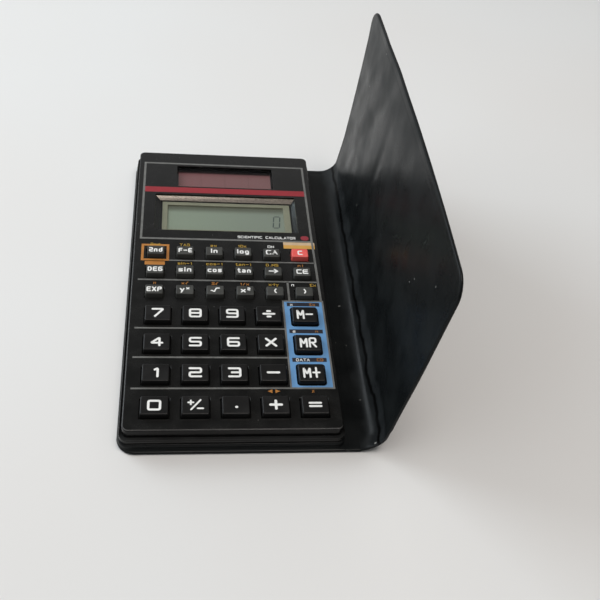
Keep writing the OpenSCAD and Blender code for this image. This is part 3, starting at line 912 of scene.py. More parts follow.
# Lettering: each stroke is a run of points, two figures each, x 0 to 8 and y 0 to 9, where a
# capital stands from 2 to 8. A stroke that ends where it starts is closed.
STROKES = {
    "0": "02 82 88 08 02", "1": "27 48 42", "2": "08 88 85 05 02 82", "3": "08 88 82 02|25 85",
    "4": "62 68 04 84", "5": "88 08 05 85 82 02", "6": "88 08 02 82 85 05", "7": "08 88 22",
    "8": "02 82 88 08 02|05 85", "9": "02 82 88 08 05 85", "A": "02 48 82|24 64",
    "B": "02 08 78 75 05|05 85 82 02", "C": "88 08 02 82", "D": "02 08 68 85 62 02",
    "E": "88 08 02 82|05 75", "F": "88 08 02|05 75", "G": "88 08 02 82 85 45", "I": "08 02",
    "L": "08 02 82", "M": "02 08 44 88 82", "N": "02 08 82 88", "O": "02 82 88 08 02",
    "P": "02 08 88 85 05", "R": "02 08 88 85 05|35 82", "S": "88 08 05 85 82 02",
    "T": "08 88|48 42", "U": "08 02 82 88", "X": "02 88|08 82", "c": "76 06 02 72",
    "d": "78 72 02 06 76", "a": "16 76 72 02 04 74", "e": "04 74 76 06 02 72",
    "g": "10 70 76 06 02 72", "i": "02 06|07 08", "l": "08 02", "n": "02 06 76 72",
    "o": "02 72 76 06 02", "s": "76 06 04 74 72 02", "t": "28 22 62|06 56", "x": "02 76|06 72",
    "y": "06 42|76 20", "p": "06 86|16 12|66 62", "r": "04 14 32 58 88", "+": "05 85|42 48",
    "-": "05 85", "*": "12 78|18 72", " ": "", "=": "06 86|04 84", "/": "12 78", ".": "32 42",
    "(": "48 26 24 42", ")": "28 46 44 22", ">": "05 85|58 85 52", "!": "45 48|42 43",
    "%": "12 78|17 27|63 73", ":": "05 85|38 58|32 52", "w": "88 08 45 02 82",
}  # fmt: skip
NARROW = {"1": 5, "I": 1, "i": 1, "l": 1, ".": 4, "!": 4, "(": 5, ")": 5, "t": 6}
GLYPH_W = 8.0
GLYPH_LOW, GLYPH_HIGH = 2.0, 8.0


@dataclass(frozen=True)
class Lettering:
    """How a run of glyphs is set: its height, how wide a full glyph is, and its stroke."""

    height: float
    glyph_w: float
    stroke: float
    gap: float
    corner: float

    def width(self, text: str) -> float:
        """How wide the text comes out."""
        glyphs = [NARROW.get(c, GLYPH_W) / GLYPH_W * (self.glyph_w - self.stroke) for c in text]
        return sum(glyphs) + len(text) * self.stroke + (len(text) - 1) * self.gap


@dataclass
class Print:
    """One ink between two heights: bands, plates, arrowheads and glyphs.

    The lift is what a curved surface adds to the heights at x and y.
    """

    low: float
    high: float
    lift: Surface | None = None
    build: Build = field(default_factory=Build)

    def band(
        self, path: np.ndarray, width: float, closed: bool = False, round_ends: bool = False
    ) -> None:
        """Adds a flat band carried along a path: a printed line or a stroke of a letter.

        At each point the band's two edges lie on the line that halves the path's turn, half a
        width away across it. A round end adds points along the last stretch, where the half
        width follows a circle down to nearly nothing.

        Args:
            path: Points of the middle line, x and y.
            width: Width of the band.
            closed: Whether the path comes back to its start.
            round_ends: Whether open ends are round.
        """
        if closed:
            before, after = np.roll(path, 1, axis=0), np.roll(path, -1, axis=0)
        else:
            before = np.vstack([2 * path[0] - path[1], path[:-1]])
            after = np.vstack([path[1:], 2 * path[-1] - path[-2]])
        out = unit(after - path)
        along = unit(unit(path - before) + out)
        half = width / 2 / np.clip((along * out).sum(axis=1), 0.5, 1)
        if round_ends and not closed:
            turn = np.radians([12, 35, 60])
            reach, thin = width / 2 * np.cos(turn), width / 2 * np.sin(turn)
            head = path[0] - along[0] * reach[:, None]
            tail = path[-1] + along[-1] * reach[::-1, None]
            path = np.vstack([head, path, tail])
            along = np.vstack([np.repeat(along[:1], 3, 0), along, np.repeat(along[-1:], 3, 0)])
            half = np.concatenate([thin, half, thin[::-1]])
        across = np.stack([-along[:, 1], along[:, 0]], axis=1) * half[:, None]
        sides = [path - across, path + across]
        rise = [self.lift(s[:, 0], s[:, 1]) if self.lift else np.zeros(len(s)) for s in sides]
        walk = ((0, self.low), (0, self.high), (1, self.high), (1, self.low))
        rim = [np.column_stack([sides[s], rise[s] + z]) for s, z in walk]
        self.build.skin(np.stack(rim, axis=1), closed)

    def plate(self, middle: Pair, size: Pair, radius: float) -> None:
        """Adds a flat rounded rectangle, centred on middle."""
        grid = ring_stack([(size[0] / 2, size[1] / 2, radius, z) for z in (self.low, self.high)])
        self.build.skin(grid + np.array([*middle, 0.0]))

    def arrowhead(self, path: np.ndarray, width: float) -> None:
        """Adds a small arrowhead that narrows from the path's second point to its first.

        Args:
            path: The tip and the middle of the base, x and y.
            width: Width of the base.
        """
        along = path[1] - path[0]
        across = np.array([-along[1], along[0]]) / np.linalg.norm(along) * width / 2
        flat = np.array([path[0], path[1] - across, path[1] + across])
        self.build.skin(np.stack([at_height(flat, z) for z in (self.low, self.high)]))

    def write(self, style: Lettering, text: str, middle: Pair) -> None:
        """Adds the strokes of a text.

        Args:
            style: How its glyphs are set.
            text: The glyphs.
            middle: Middle of the run, x and y.
        """
        scale_x = (style.glyph_w - style.stroke) / GLYPH_W
        scale_y = (style.height - style.stroke) / (GLYPH_HIGH - GLYPH_LOW)
        left = middle[0] - style.width(text) / 2 + style.stroke / 2
        for glyph in text:
            for run in filter(None, STROKES[glyph].split("|")):
                points = np.array([[int(p[0]), int(p[1])] for p in run.split()], float)
                points[:, 1] -= (GLYPH_LOW + GLYPH_HIGH) / 2
                points = points * [scale_x, scale_y] + [left, middle[1]]
                closed = len(points) > 2 and np.allclose(points[0], points[-1])
                path = filleted(points[:-1] if closed else points, style.corner, closed)
                self.band(path, style.stroke, closed, round_ends=True)
            left += NARROW.get(glyph, GLYPH_W) * scale_x + style.stroke + style.gap


# Keys


@dataclass(frozen=True)
class Run:
    """Glyphs on a key: their width, height and stroke, and how far off its middle they stand."""

    text: str
    glyph_w: float
    height: float = 2.3
    stroke: float = 0.5
    dx: float = 0.0
    dy: float = 0.0


RAISED_H = 0.62 * 2.3
SMALL_KEYS = {
    "key_second": [Run("2nd", 1.5)], "key_format": [Run("F-E", 1.5)], "key_ln": [Run("ln", 1.7)],
    "key_log": [Run("log", 1.7)], "key_clear_all": [Run("CA", 2.1)],
    "key_clear": [Run("C", 1.9, stroke=0.55)], "key_degrees": [Run("DEG", 1.6)],
    "key_sin": [Run("sin", 1.8)], "key_cos": [Run("cos", 1.6)], "key_tan": [Run("tan", 1.6)],
    "key_arrow": [Run(">", 3.6)], "key_clear_entry": [Run("CE", 2.1)],
    "key_exponent": [Run("EXP", 1.6)],
    "key_power": [Run("y", 1.9, dx=-0.9, dy=0.1), Run("x", 1.3, RAISED_H, 0.4, 1.1, 0.7)],
    "key_root": [Run("r", 3.4)],
    "key_square": [Run("x", 2.0, dx=-0.7, dy=0.1), Run("2", 1.1, RAISED_H, 0.38, 1.3, 0.7)],
    "key_open_bracket": [Run("(", 2.2)], "key_close_bracket": [Run(")", 2.2)],
}  # fmt: skip
LARGE_KEYS = {f"key_{n}": [Run(str(n), 4.45, 4.1, 0.78)] for n in range(10)} | {
    "key_divide": [Run(":", 4.65, 3.4, 0.85)], "key_multiply": [Run("*", 5.25, 3.9, 0.85)],
    "key_minus": [Run("-", 4.55, 3.4, 0.85)], "key_plus": [Run("+", 4.55, 3.9, 0.9)],
    "key_equals": [Run("=", 4.45, 4.6, 0.75)], "key_point": [Run(".", 1.9, 2.5, 0.85)],
    "key_sign": [
        Run("+", 2.2, 2.1, 0.6, -1.45, 1.0), Run("/", 4.6, 4.2, 0.6, 0.15, 0.1),
        Run("-", 2.3, 2.1, 0.6, 1.6, -1.3),
    ],
    "key_memory_minus": [Run("M-", 2.8, 4.5, 0.7)],
    "key_memory_recall": [Run("MR", 2.8, 4.5, 0.7)],
    "key_memory_plus": [Run("M+", 2.8, 4.5, 0.7)],
}  # fmt: skip


@dataclass
class Key:
    """One key: its moulded cap with the shaft, ledge and plunger, and its printed legend."""

    node: str
    finish: Finish
    slot: str
    runs: list[Run]
    dish: float = 0.07
    edge: float = 0.3
    corner: float = 0.55
    draft: float = 0.15
    ledge_out: float = 0.8
    ledge_t: float = 0.75
    ledge_corner: float = 0.5
    plunger_r: float = 1.2
    plunger_t: float = 0.6
    plunger_edge: float = 0.15
    least_corner: float = 0.2
    dish_rings: tuple[float, ...] = (0.9, 0.7, 0.45, 0.2)
    dish_corner: float = 0.25
    face_z: float = 10.0
    ink: Pair = (-0.05, 0.02)
    gap: Pair = (0.35, 0.12)
    fillet: float = 0.14

    def __post_init__(self) -> None:
        """Reads the key's place and size from its node in the frame."""
        low, high = (np.array(c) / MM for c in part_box(self.node))
        self.middle = (low[:2] + high[:2]) / 2
        self.half = (high[:2] - low[:2]) / 2 - self.ledge_out
        self.flat = self.half - self.draft - self.edge
        self.low_z, self.top_z = low[2], high[2]

    def top(self, x: np.ndarray, y: np.ndarray) -> np.ndarray:
        """How far the top lies below the cap's highest point: the rise of the dish.

        The dish is a bowl by the larger share of the way from the middle to an edge, squared.
        """
        away = (np.abs(v - m) / f for v, m, f in zip((x, y), self.middle, self.flat))
        return self.dish * np.clip(np.maximum(*away), 0, 1) ** 2 - max(self.dish, 0.0)

    def cap(self) -> None:
        """Makes the cap: rings from the plunger up to the middle of the dished top."""
        r, tip_r = self.plunger_r, self.plunger_r - self.plunger_edge
        ledge_z = self.low_z + self.plunger_t
        ledge = (*(self.half + self.ledge_out), self.ledge_corner)
        shaft = (*self.half, self.corner)
        levels = [
            (tip_r, tip_r, tip_r, self.low_z), (r, r, r, self.low_z + self.plunger_edge),
            (r, r, r, ledge_z), (*ledge, ledge_z), (*ledge, ledge_z + self.ledge_t),
            (*shaft, ledge_z + self.ledge_t), (*shaft, self.face_z),
        ]  # fmt: skip
        rim_z = self.top_z + min(self.dish, 0.0)
        for turn in np.radians(np.linspace(0, 90, 5)):
            d = self.draft + self.edge * (1 - np.cos(turn))
            corner = max(self.corner - d * 0.5, self.least_corner)
            levels.append((*(self.half - d), corner, rim_z - self.edge * (1 - np.sin(turn))))
        for share in self.dish_rings:
            fall = self.dish * (share**2 - 1)
            corner = self.dish_corner * share
            levels.append((*(self.flat * share), corner, rim_z + fall))
        build = Build()
        build.skin(ring_stack(levels) + np.array([*self.middle, 0.0]))
        made = build.piece(f"cap_{self.node[4:]}", self.finish)
        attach(made, self.node)
        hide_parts(self.node)

    def legend(self) -> None:
        """Prints the legend on the cap, following its dish."""
        ink = Print(*(self.top_z + z for z in self.ink), self.top)
        for run in self.runs:
            gap, corner = self.gap[0] * run.stroke + self.gap[1], run.height * self.fillet
            style = Lettering(run.height, run.glyph_w, run.stroke, gap, corner)
            ink.write(style, run.text, (self.middle[0] + run.dx, self.middle[1] + run.dy))
        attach(ink.build.piece(f"legend_{self.node[4:]}", WHITE_INK), self.node)


@dataclass
class Keypad:
    """All 38 keys: 17 grey, one red and 20 black."""

    small_dish: float = 0.05
    clear_all_dish: float = -0.3
    small_edge: float = 0.25
    small_corner: float = 0.5

    def build(self) -> None:
        """Makes every key and its legend."""
        keys = []
        for node, runs in SMALL_KEYS.items():
            finish, slot = (RED_KEY, "key_red") if node == "key_clear" else (GREY_KEY, "key_grey")
            dish = self.clear_all_dish if node == "key_clear_all" else self.small_dish
            keys.append(Key(node, finish, slot, runs, dish, self.small_edge, self.small_corner))
        keys += [Key(node, BLACK_KEY, "key_black", runs) for node, runs in LARGE_KEYS.items()]
        for key in keys:
            key.cap()
            key.legend()


# Face


def box_path(x: Pair, y: Pair) -> np.ndarray:
    """The corners of a rectangle, anticlockwise from the lowest."""
    return np.array([(x[0], y[0]), (x[1], y[0]), (x[1], y[1]), (x[0], y[1])], float)


@dataclass
class FacePrint:
    """Everything printed on the face plate."""

    face_z: float = 10.0
    sunk: float = 0.02
    proud: float = 0.02
    layer_t: float = 0.01
    frame_x: float = 33.0
    frame_y: Pair = (16.9, 62.2)
    line: float = 0.85
    thin: float = 0.65
    panel_x: Pair = (19.3, 33.9)
    panel_y: Pair = (-53.3, -14.4)
    window: Pair = (10.2, 9.1)
    window_r: float = 1.2
    window_x: float = 26.6
    window_ys: tuple[float, ...] = (-21.95, -34.95, -47.75)
    bar_ys: tuple[float, ...] = (-16.0, -28.7, -41.4)
    row_ys: tuple[float, ...] = (13.6, 3.75, -6.3)
    second_x: Pair = (-32.1, -22.7)
    second_y: Pair = (5.4, 13.2)
    second_w: float = 0.95
    arrow: Pair = (13.4, -54.5)
    arrow_ends: Pair = (2.1, 0.5)
    arrow_w: float = 1.5
    mark_h: float = 1.35
    bar_mark_h: float = 1.25
    mark_shares: Triple = (0.85, 0.17, 0.14)
    title: Lettering = Lettering(1.35, 1.05, 0.24, 0.14, 0.12)
    title_spot: Pair = (15.3, 18.75)

    def ink(self, layer: int = 0) -> Print:
        """An ink on the face, with later layers a little higher."""
        return Print(self.face_z - self.sunk, self.face_z + self.proud + layer * self.layer_t)

    def put(self, ink: Print, name: str, finish: Finish) -> None:
        """Finishes one ink's piece on the calculator."""
        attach(ink.build.piece(name, finish), Body.CALCULATOR.value)

    def lines(self) -> None:
        """The silver frame, separators and outlines."""
        x, left, top = self.frame_x, self.panel_x[0], self.panel_y[1]
        ink = self.ink(1)
        ink.band(box_path((-x, x), self.frame_y), self.line, closed=True)
        ink.band(box_path(self.panel_x, self.panel_y), self.thin, closed=True)
        ink.high += self.layer_t
        runs = [
            (x + 0.05, self.frame_y[0], x + 0.4, top, self.line), (-22.2, 5.24, x, 5.24, 0.6),
            (-33.2, -4.78, x, -4.78, 0.7), (21.7, -4.78, 21.7, top, 0.75),
            *((-33.3, y, left, y, self.thin) for y in (-27.72, -40.5, -53.31)),
        ]  # fmt: skip
        for x0, y0, x1, y1, width in runs:
            ink.band(np.array([[x0, y0], [x1, y1]]), width)
        self.put(ink, "print_silver_lines", SILVER_INK)

    def plates(
        self, name: str, finish: Finish, layer: int, size: Pair, radius: float, *middles: Pair
    ) -> None:
        """Prints equal rounded plates in one ink.

        Args:
            name: The piece's name.
            finish: Its ink.
            layer: How many layers of ink lie under it.
            size: A plate's width and length.
            radius: Radius of its corners.
            middles: Where the plates are centred.
        """
        ink = self.ink(layer)
        for middle in middles:
            ink.plate(middle, size, radius)
        self.put(ink, name, finish)

    def stripe(self) -> None:
        """The red stripe between the solar cell and the display, and a plain red oval."""
        width = 2 * self.frame_x - self.line
        self.plates("print_red_stripe", RED_INK, 0, (width, 3.2), 0.02, (0.0, 45.5))
        self.plates("print_red_oval", DARK_RED_INK, 0, (3.2, 2.4), 1.15, (30.35, 18.9))

    def bars(self) -> None:
        """The black label bars in the panel, and the gold and cream ones by the clear key."""
        middles = [(self.window_x, y) for y in self.bar_ys]
        self.plates("print_black_bars", BLACK_INK, 1, (12.0, 1.75), 0.15, *middles)
        self.plates("print_gold_bar", GOLD_INK, 1, (12.3, 1.9), 0.1, (27.75, 13.85))
        self.plates("print_cream_bar", CREAM_INK, 1, (12.3, 1.6), 0.1, (27.75, 15.6))

    def panel(self) -> None:
        """The blue panel round the memory keys, open at three rounded windows.

        Each third is a plate between a rectangle and the rounded window in it, both walked
        round corner by corner, so that its faces run from one to the other.
        """
        ink = self.ink()
        between = [sum(pair) / 2 for pair in zip(self.window_ys, self.window_ys[1:])]
        cuts = [self.panel_y[1], *between, self.panel_y[0]]
        left, right = self.panel_x
        for top, bottom, window_y in zip(cuts, cuts[1:], self.window_ys):
            outer = rounded_ring((right - left) / 2, (top - bottom) / 2, 0.01)
            outer = outer + [(left + right) / 2, (top + bottom) / 2]
            inner = rounded_ring(self.window[0] / 2, self.window[1] / 2, self.window_r)
            inner = inner + [self.window_x, window_y]
            rims = [(outer, ink.low), (outer, ink.high), (inner, ink.high), (inner, ink.low)]
            ink.build.skin(np.stack([at_height(ring, z) for ring, z in rims]), closed=True)
        self.put(ink, "print_blue_panel", BLUE_INK)

    def orange_marks(self) -> None:
        """The orange frame round the second-function key, a bar under it and two arrowheads."""
        ink = self.ink(1)
        ink.band(box_path(self.second_x, self.second_y), self.second_w, closed=True)
        ink.plate((-27.4, 3.7), (7.4, 1.8), 0.2)
        x, y = self.arrow
        for side in (-1, 1):
            ends = [[x + side * end, y] for end in self.arrow_ends]
            ink.arrowhead(np.array(ends), self.arrow_w)
        self.put(ink, "print_orange_marks", ORANGE_INK)

    def legends(self) -> None:
        """The small second legends above the keys, plain function signs, and the title."""
        first, second, third = self.row_ys
        bar_one, bar_two, bar_three = self.bar_ys
        rows = [
            ("print_yellow_legends", YELLOW_INK, [
                ("TAB", -16.4, first), ("ex", -5.4, first), ("10x", 5.5, first),
                ("sin-1", -16.3, second), ("cos-1", -5.3, second), ("tan-1", 5.6, second),
                ("D.MS", 16.5, second), ("x>y", 16.5, third), ("wx", 31.2, third),
                ("2nd", -27.5, 13.55),
            ]),
            ("print_orange_legends", ORANGE_INK, [
                ("n!", 27.3, second), ("p", -27.1, third), ("xr", -16.2, third),
                ("3r", -5.3, third), ("1/x", 5.6, third), ("%", 26.6, self.arrow[1]),
                ("wx", 30.0, bar_one), ("n", 30.4, bar_two), ("CD", 30.3, bar_three),
            ]),
            ("print_white_legends", WHITE_INK, [
                ("ON", 16.6, 13.65), ("n", 23.6, third), ("x", 22.3, bar_one),
                ("s", 22.3, bar_two), ("DATA", 24.3, bar_three),
            ]),
        ]  # fmt: skip
        for name, finish, marks in rows:
            ink = self.ink(2)
            for text, x, y in marks:
                height = self.bar_mark_h if x > 20 and y < -10 else self.mark_h
                shape = (height * share for share in self.mark_shares)
                style = Lettering(height, *shape, self.title.corner)
                ink.write(style, text, (x, y))
            self.put(ink, name, finish)
        ink = self.ink(2)
        ink.write(self.title, "SCIENTIFIC CALCULATOR", self.title_spot)
        self.put(ink, "print_words", WHITE_INK)

    def build(self) -> None:
        """Prints everything."""
        self.lines()
        self.stripe()
        self.panel()
        self.bars()
        self.orange_marks()
        self.legends()


# Case, display and insides


SAME_POINT = 1e-6
FLAT_ANGLE, EDGE_ANGLE = 0.5, 40.0
ROUND_STEPS, FACE_WEIGHT = 2, 90


def soften(node: bpy.types.Object, width: float) -> None:
    """Welds a carried-over node and gives its edges a small round, with weighted normals.

    Args:
        node: The node.
        width: Width of the round.
    """
    node.modifiers.new("weld", "WELD").merge_threshold = SAME_POINT
    planar = node.modifiers.new("planar", "DECIMATE")
    planar.decimate_type, planar.angle_limit = "DISSOLVE", np.radians(FLAT_ANGLE)
    bevel = node.modifiers.new("bevel", "BEVEL")
    bevel.width, bevel.segments = width * MM, ROUND_STEPS
    bevel.limit_method, bevel.angle_limit = "ANGLE", np.radians(EDGE_ANGLE)
    bevel.use_clamp_overlap = True
    node.modifiers.new("normals", "WEIGHTED_NORMAL").weight = FACE_WEIGHT
    node.data.shade_smooth()


def dress(nodes: dict[str, bpy.types.Object], finishes: dict[str, Finish]) -> None:
    """Puts a finish on every material slot of each carried-over node.

    Args:
        nodes: The frame's nodes, by name.
        finishes: A finish for each node to dress.
    """
    for name, finish in finishes.items():
        for holder in nodes[name].material_slots:
            holder.material = finish.material()
        LOG.info("%s: carried over in %s", name, finish.name)


@dataclass
class Case:
    """Upper case, face plate and rear case: the frame's own shapes with softened edges."""

    upper_edge: float = 0.28
    face_edge: float = 0.22
    rear_edge: float = 0.25

    def build(self, nodes: dict[str, bpy.types.Object]) -> None:
        """Softens and dresses the three nodes.

        Args:
            nodes: The frame's nodes, by name.
        """
        soften(nodes["upper_case"], self.upper_edge)
        soften(nodes["face_plate"], self.face_edge)
        soften(nodes["rear_case"], self.rear_edge)
        dress(nodes, {"upper_case": CASE, "face_plate": FACE, "rear_case": LOWER_CASE})


def grown(half: Pair, step: float) -> Pair:
    """A rectangle's half sizes, grown by a step."""
    return half[0] + step, half[1] + step


@dataclass
class Display:
    """The display: bezel, liquid crystal cell, its digit, the panes and the solar cell."""

    middle_y: float = 32.4
    opening: Pair = (28.2, 10.5)
    pane: Pair = (29.05, 11.35)
    outer: Pair = (30.4, 12.7)
    outer_corner: float = 0.6
    corner: float = 0.05
    slope_foot: Pair = (26.5, 9.4)
    foot_shift: Pair = (0.3, -0.3)
    groove: Pair = (0.05, 0.75)
    groove_depth: float = 0.45
    view: Pair = (23.4, 7.05)
    view_edge: float = 0.08
    view_shift: float = -0.45
    board_top: float = 5.4
    cell_top: float = 7.0
    frame_z: float = 7.6
    deck_z: float = 8.3
    pane_z: float = 8.9
    sun_y: float = 54.4
    digit_spot: Pair = (18.75, 27.6)
    digit_size: Pair = (2.5, 6.6)
    digit_bar: float = 0.5
    digit_gap: float = 0.1
    digit_slant: float = 0.1

    def bezel(self) -> None:
        """The bezel, as a profile carried round the opening.

        Rows of rounded rectangles go up the outside, down the slope, in over the frame and back
        down inside the cell's pocket, and the last row joins the first. The slope's far side is
        in pale metal film as a painted highlight; its other sides and the groove at its foot are
        in dark plastic as painted shade.
        """
        foot, view, z, r = self.slope_foot, self.view, self.frame_z, self.corner
        near, far = self.groove
        groove_z = z - self.groove_depth
        body = [
            (*foot, r, z), (*grown(foot, -near), r, groove_z), (*grown(foot, -far), r, groove_z),
            (*grown(foot, -near - far), r, z), (*grown(view, self.view_edge), r, z),
            (*view, r, z - self.view_edge), (*view, r, self.cell_top),
            (*self.opening, r, self.cell_top), (*self.opening, r, self.board_top),
            (*self.outer, self.outer_corner, self.board_top),
            (*self.outer, self.outer_corner, self.deck_z), (*self.pane, r, self.deck_z),
            (*self.pane, r, self.pane_z), (*self.opening, r, self.pane_z),
        ]  # fmt: skip
        rows = ring_stack(body, 3)
        rows[:4, :, :2] += self.foot_shift
        rows[4:7, :, 1] += self.view_shift
        rows[..., 1] += self.middle_y
        build = Build()
        build.skin(rows, closed=True)
        columns, faces = rows.shape[1], np.array(build.faces)
        first, last = faces.min(axis=1), faces.max(axis=1)
        slope = (first < columns) & (last >= (len(rows) - 1) * columns)
        far_y = self.middle_y + self.slope_foot[1] + self.foot_shift[1] - 0.1
        film = slope & (build.points[0][faces, 1].min(axis=1) > far_y)
        # coat 1: painted highlight on the far slope; coat 2: painted shade on the other slopes and
        # the groove
        build.coats = np.where(film, 1, np.where(slope | (last < 4 * columns), 2, 0)).tolist()
        made = build.piece("bezel", BEZEL, CHAMPAGNE_PAINTED_HIGHLIGHT, BEZEL_PAINTED_SHADE, sharp=25.0)
        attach(made, Body.CALCULATOR.value)
        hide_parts("display_bezel")

    def digit(self) -> None:
        """The thin slanted nought on the cell: six bars of a seven-bar figure."""
        ink = Print(self.cell_top - 0.005, self.cell_top + 0.01)
        (w, h), (left, low) = self.digit_size, self.digit_spot
        stops = [(0, 0), (w, 0), (w, h / 2), (w, h), (0, h), (0, h / 2), (0, 0)]
        for pair in zip(stops, stops[1:]):
            bar = np.array(pair, float)
            along = (bar[1] - bar[0]) / np.linalg.norm(bar[1] - bar[0])
            bar += np.array([along, -along]) * (self.digit_gap + self.digit_bar / 3)
            bar[:, 0] += left + bar[:, 1] * self.digit_slant
            bar[:, 1] += low
            ink.band(bar, self.digit_bar)
        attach(ink.build.piece("lcd_digit", LCD_INK), Body.CALCULATOR.value)

    def build(self, nodes: dict[str, bpy.types.Object]) -> None:
        """Makes the bezel and the digit, and dresses the cell, the solar cell and the panes.

        Args:
            nodes: The frame's nodes, by name.
        """
        self.bezel()
        self.digit()
        # The cell's third colour is the painted shadow under the frame's edge.
        crystal = Crystal(
            "finish_crystal", paint(158, 167, 148), paint(149, 155, 142), paint(106, 107, 92),
            (0.0, self.middle_y + self.view_shift), self.view,
        )  # fmt: skip
        sun = SunCell(
            "finish_sun_cell", paint(147, 96, 98), paint(140, 98, 98), (0.012, 0.009, 0.01),
            strips=4, middle=(0.0, self.sun_y), half=(19.8, 6.5), border=(0.7, 1.2),
        )  # fmt: skip
        dress(nodes, {
            "lcd_cell": crystal, "solar_cell": sun, "display_window": CLEAR, "solar_window": CLEAR,
        })  # fmt: skip


@dataclass
class Insides:
    """What is sealed in the case: carried over as built, each in its own finish."""

    finishes: dict[str, Finish] = field(default_factory=lambda: {
        "lcd_reflector": FOIL, "lcd_connector": RUBBER, "solar_leads": SLEEVE, "main_board": BOARD,
        "processor_chip": RESIN, "board_components": CERAMIC, "contact_sheet": RUBBER,
        "board_screws": STEEL, "case_screws": STEEL,
    })  # fmt: skip

    def build(self, nodes: dict[str, bpy.types.Object]) -> None:
        """Dresses every sealed node."""
        dress(nodes, self.finishes)


# Wallet


def lay_flat(made: bpy.types.Object, place: np.ndarray) -> None:
    """Gives each point its place on the flat sheet, as the piece's UV map.

    Args:
        made: The piece.
        place: Each point's place, in decimetres.
    """
    layer = made.data.uv_layers.new(name=SHEET_MAP)
    corner_point = np.zeros(len(made.data.loops), int)
    made.data.loops.foreach_get("vertex_index", corner_point)
    layer.data.foreach_set("uv", place[corner_point].ravel())


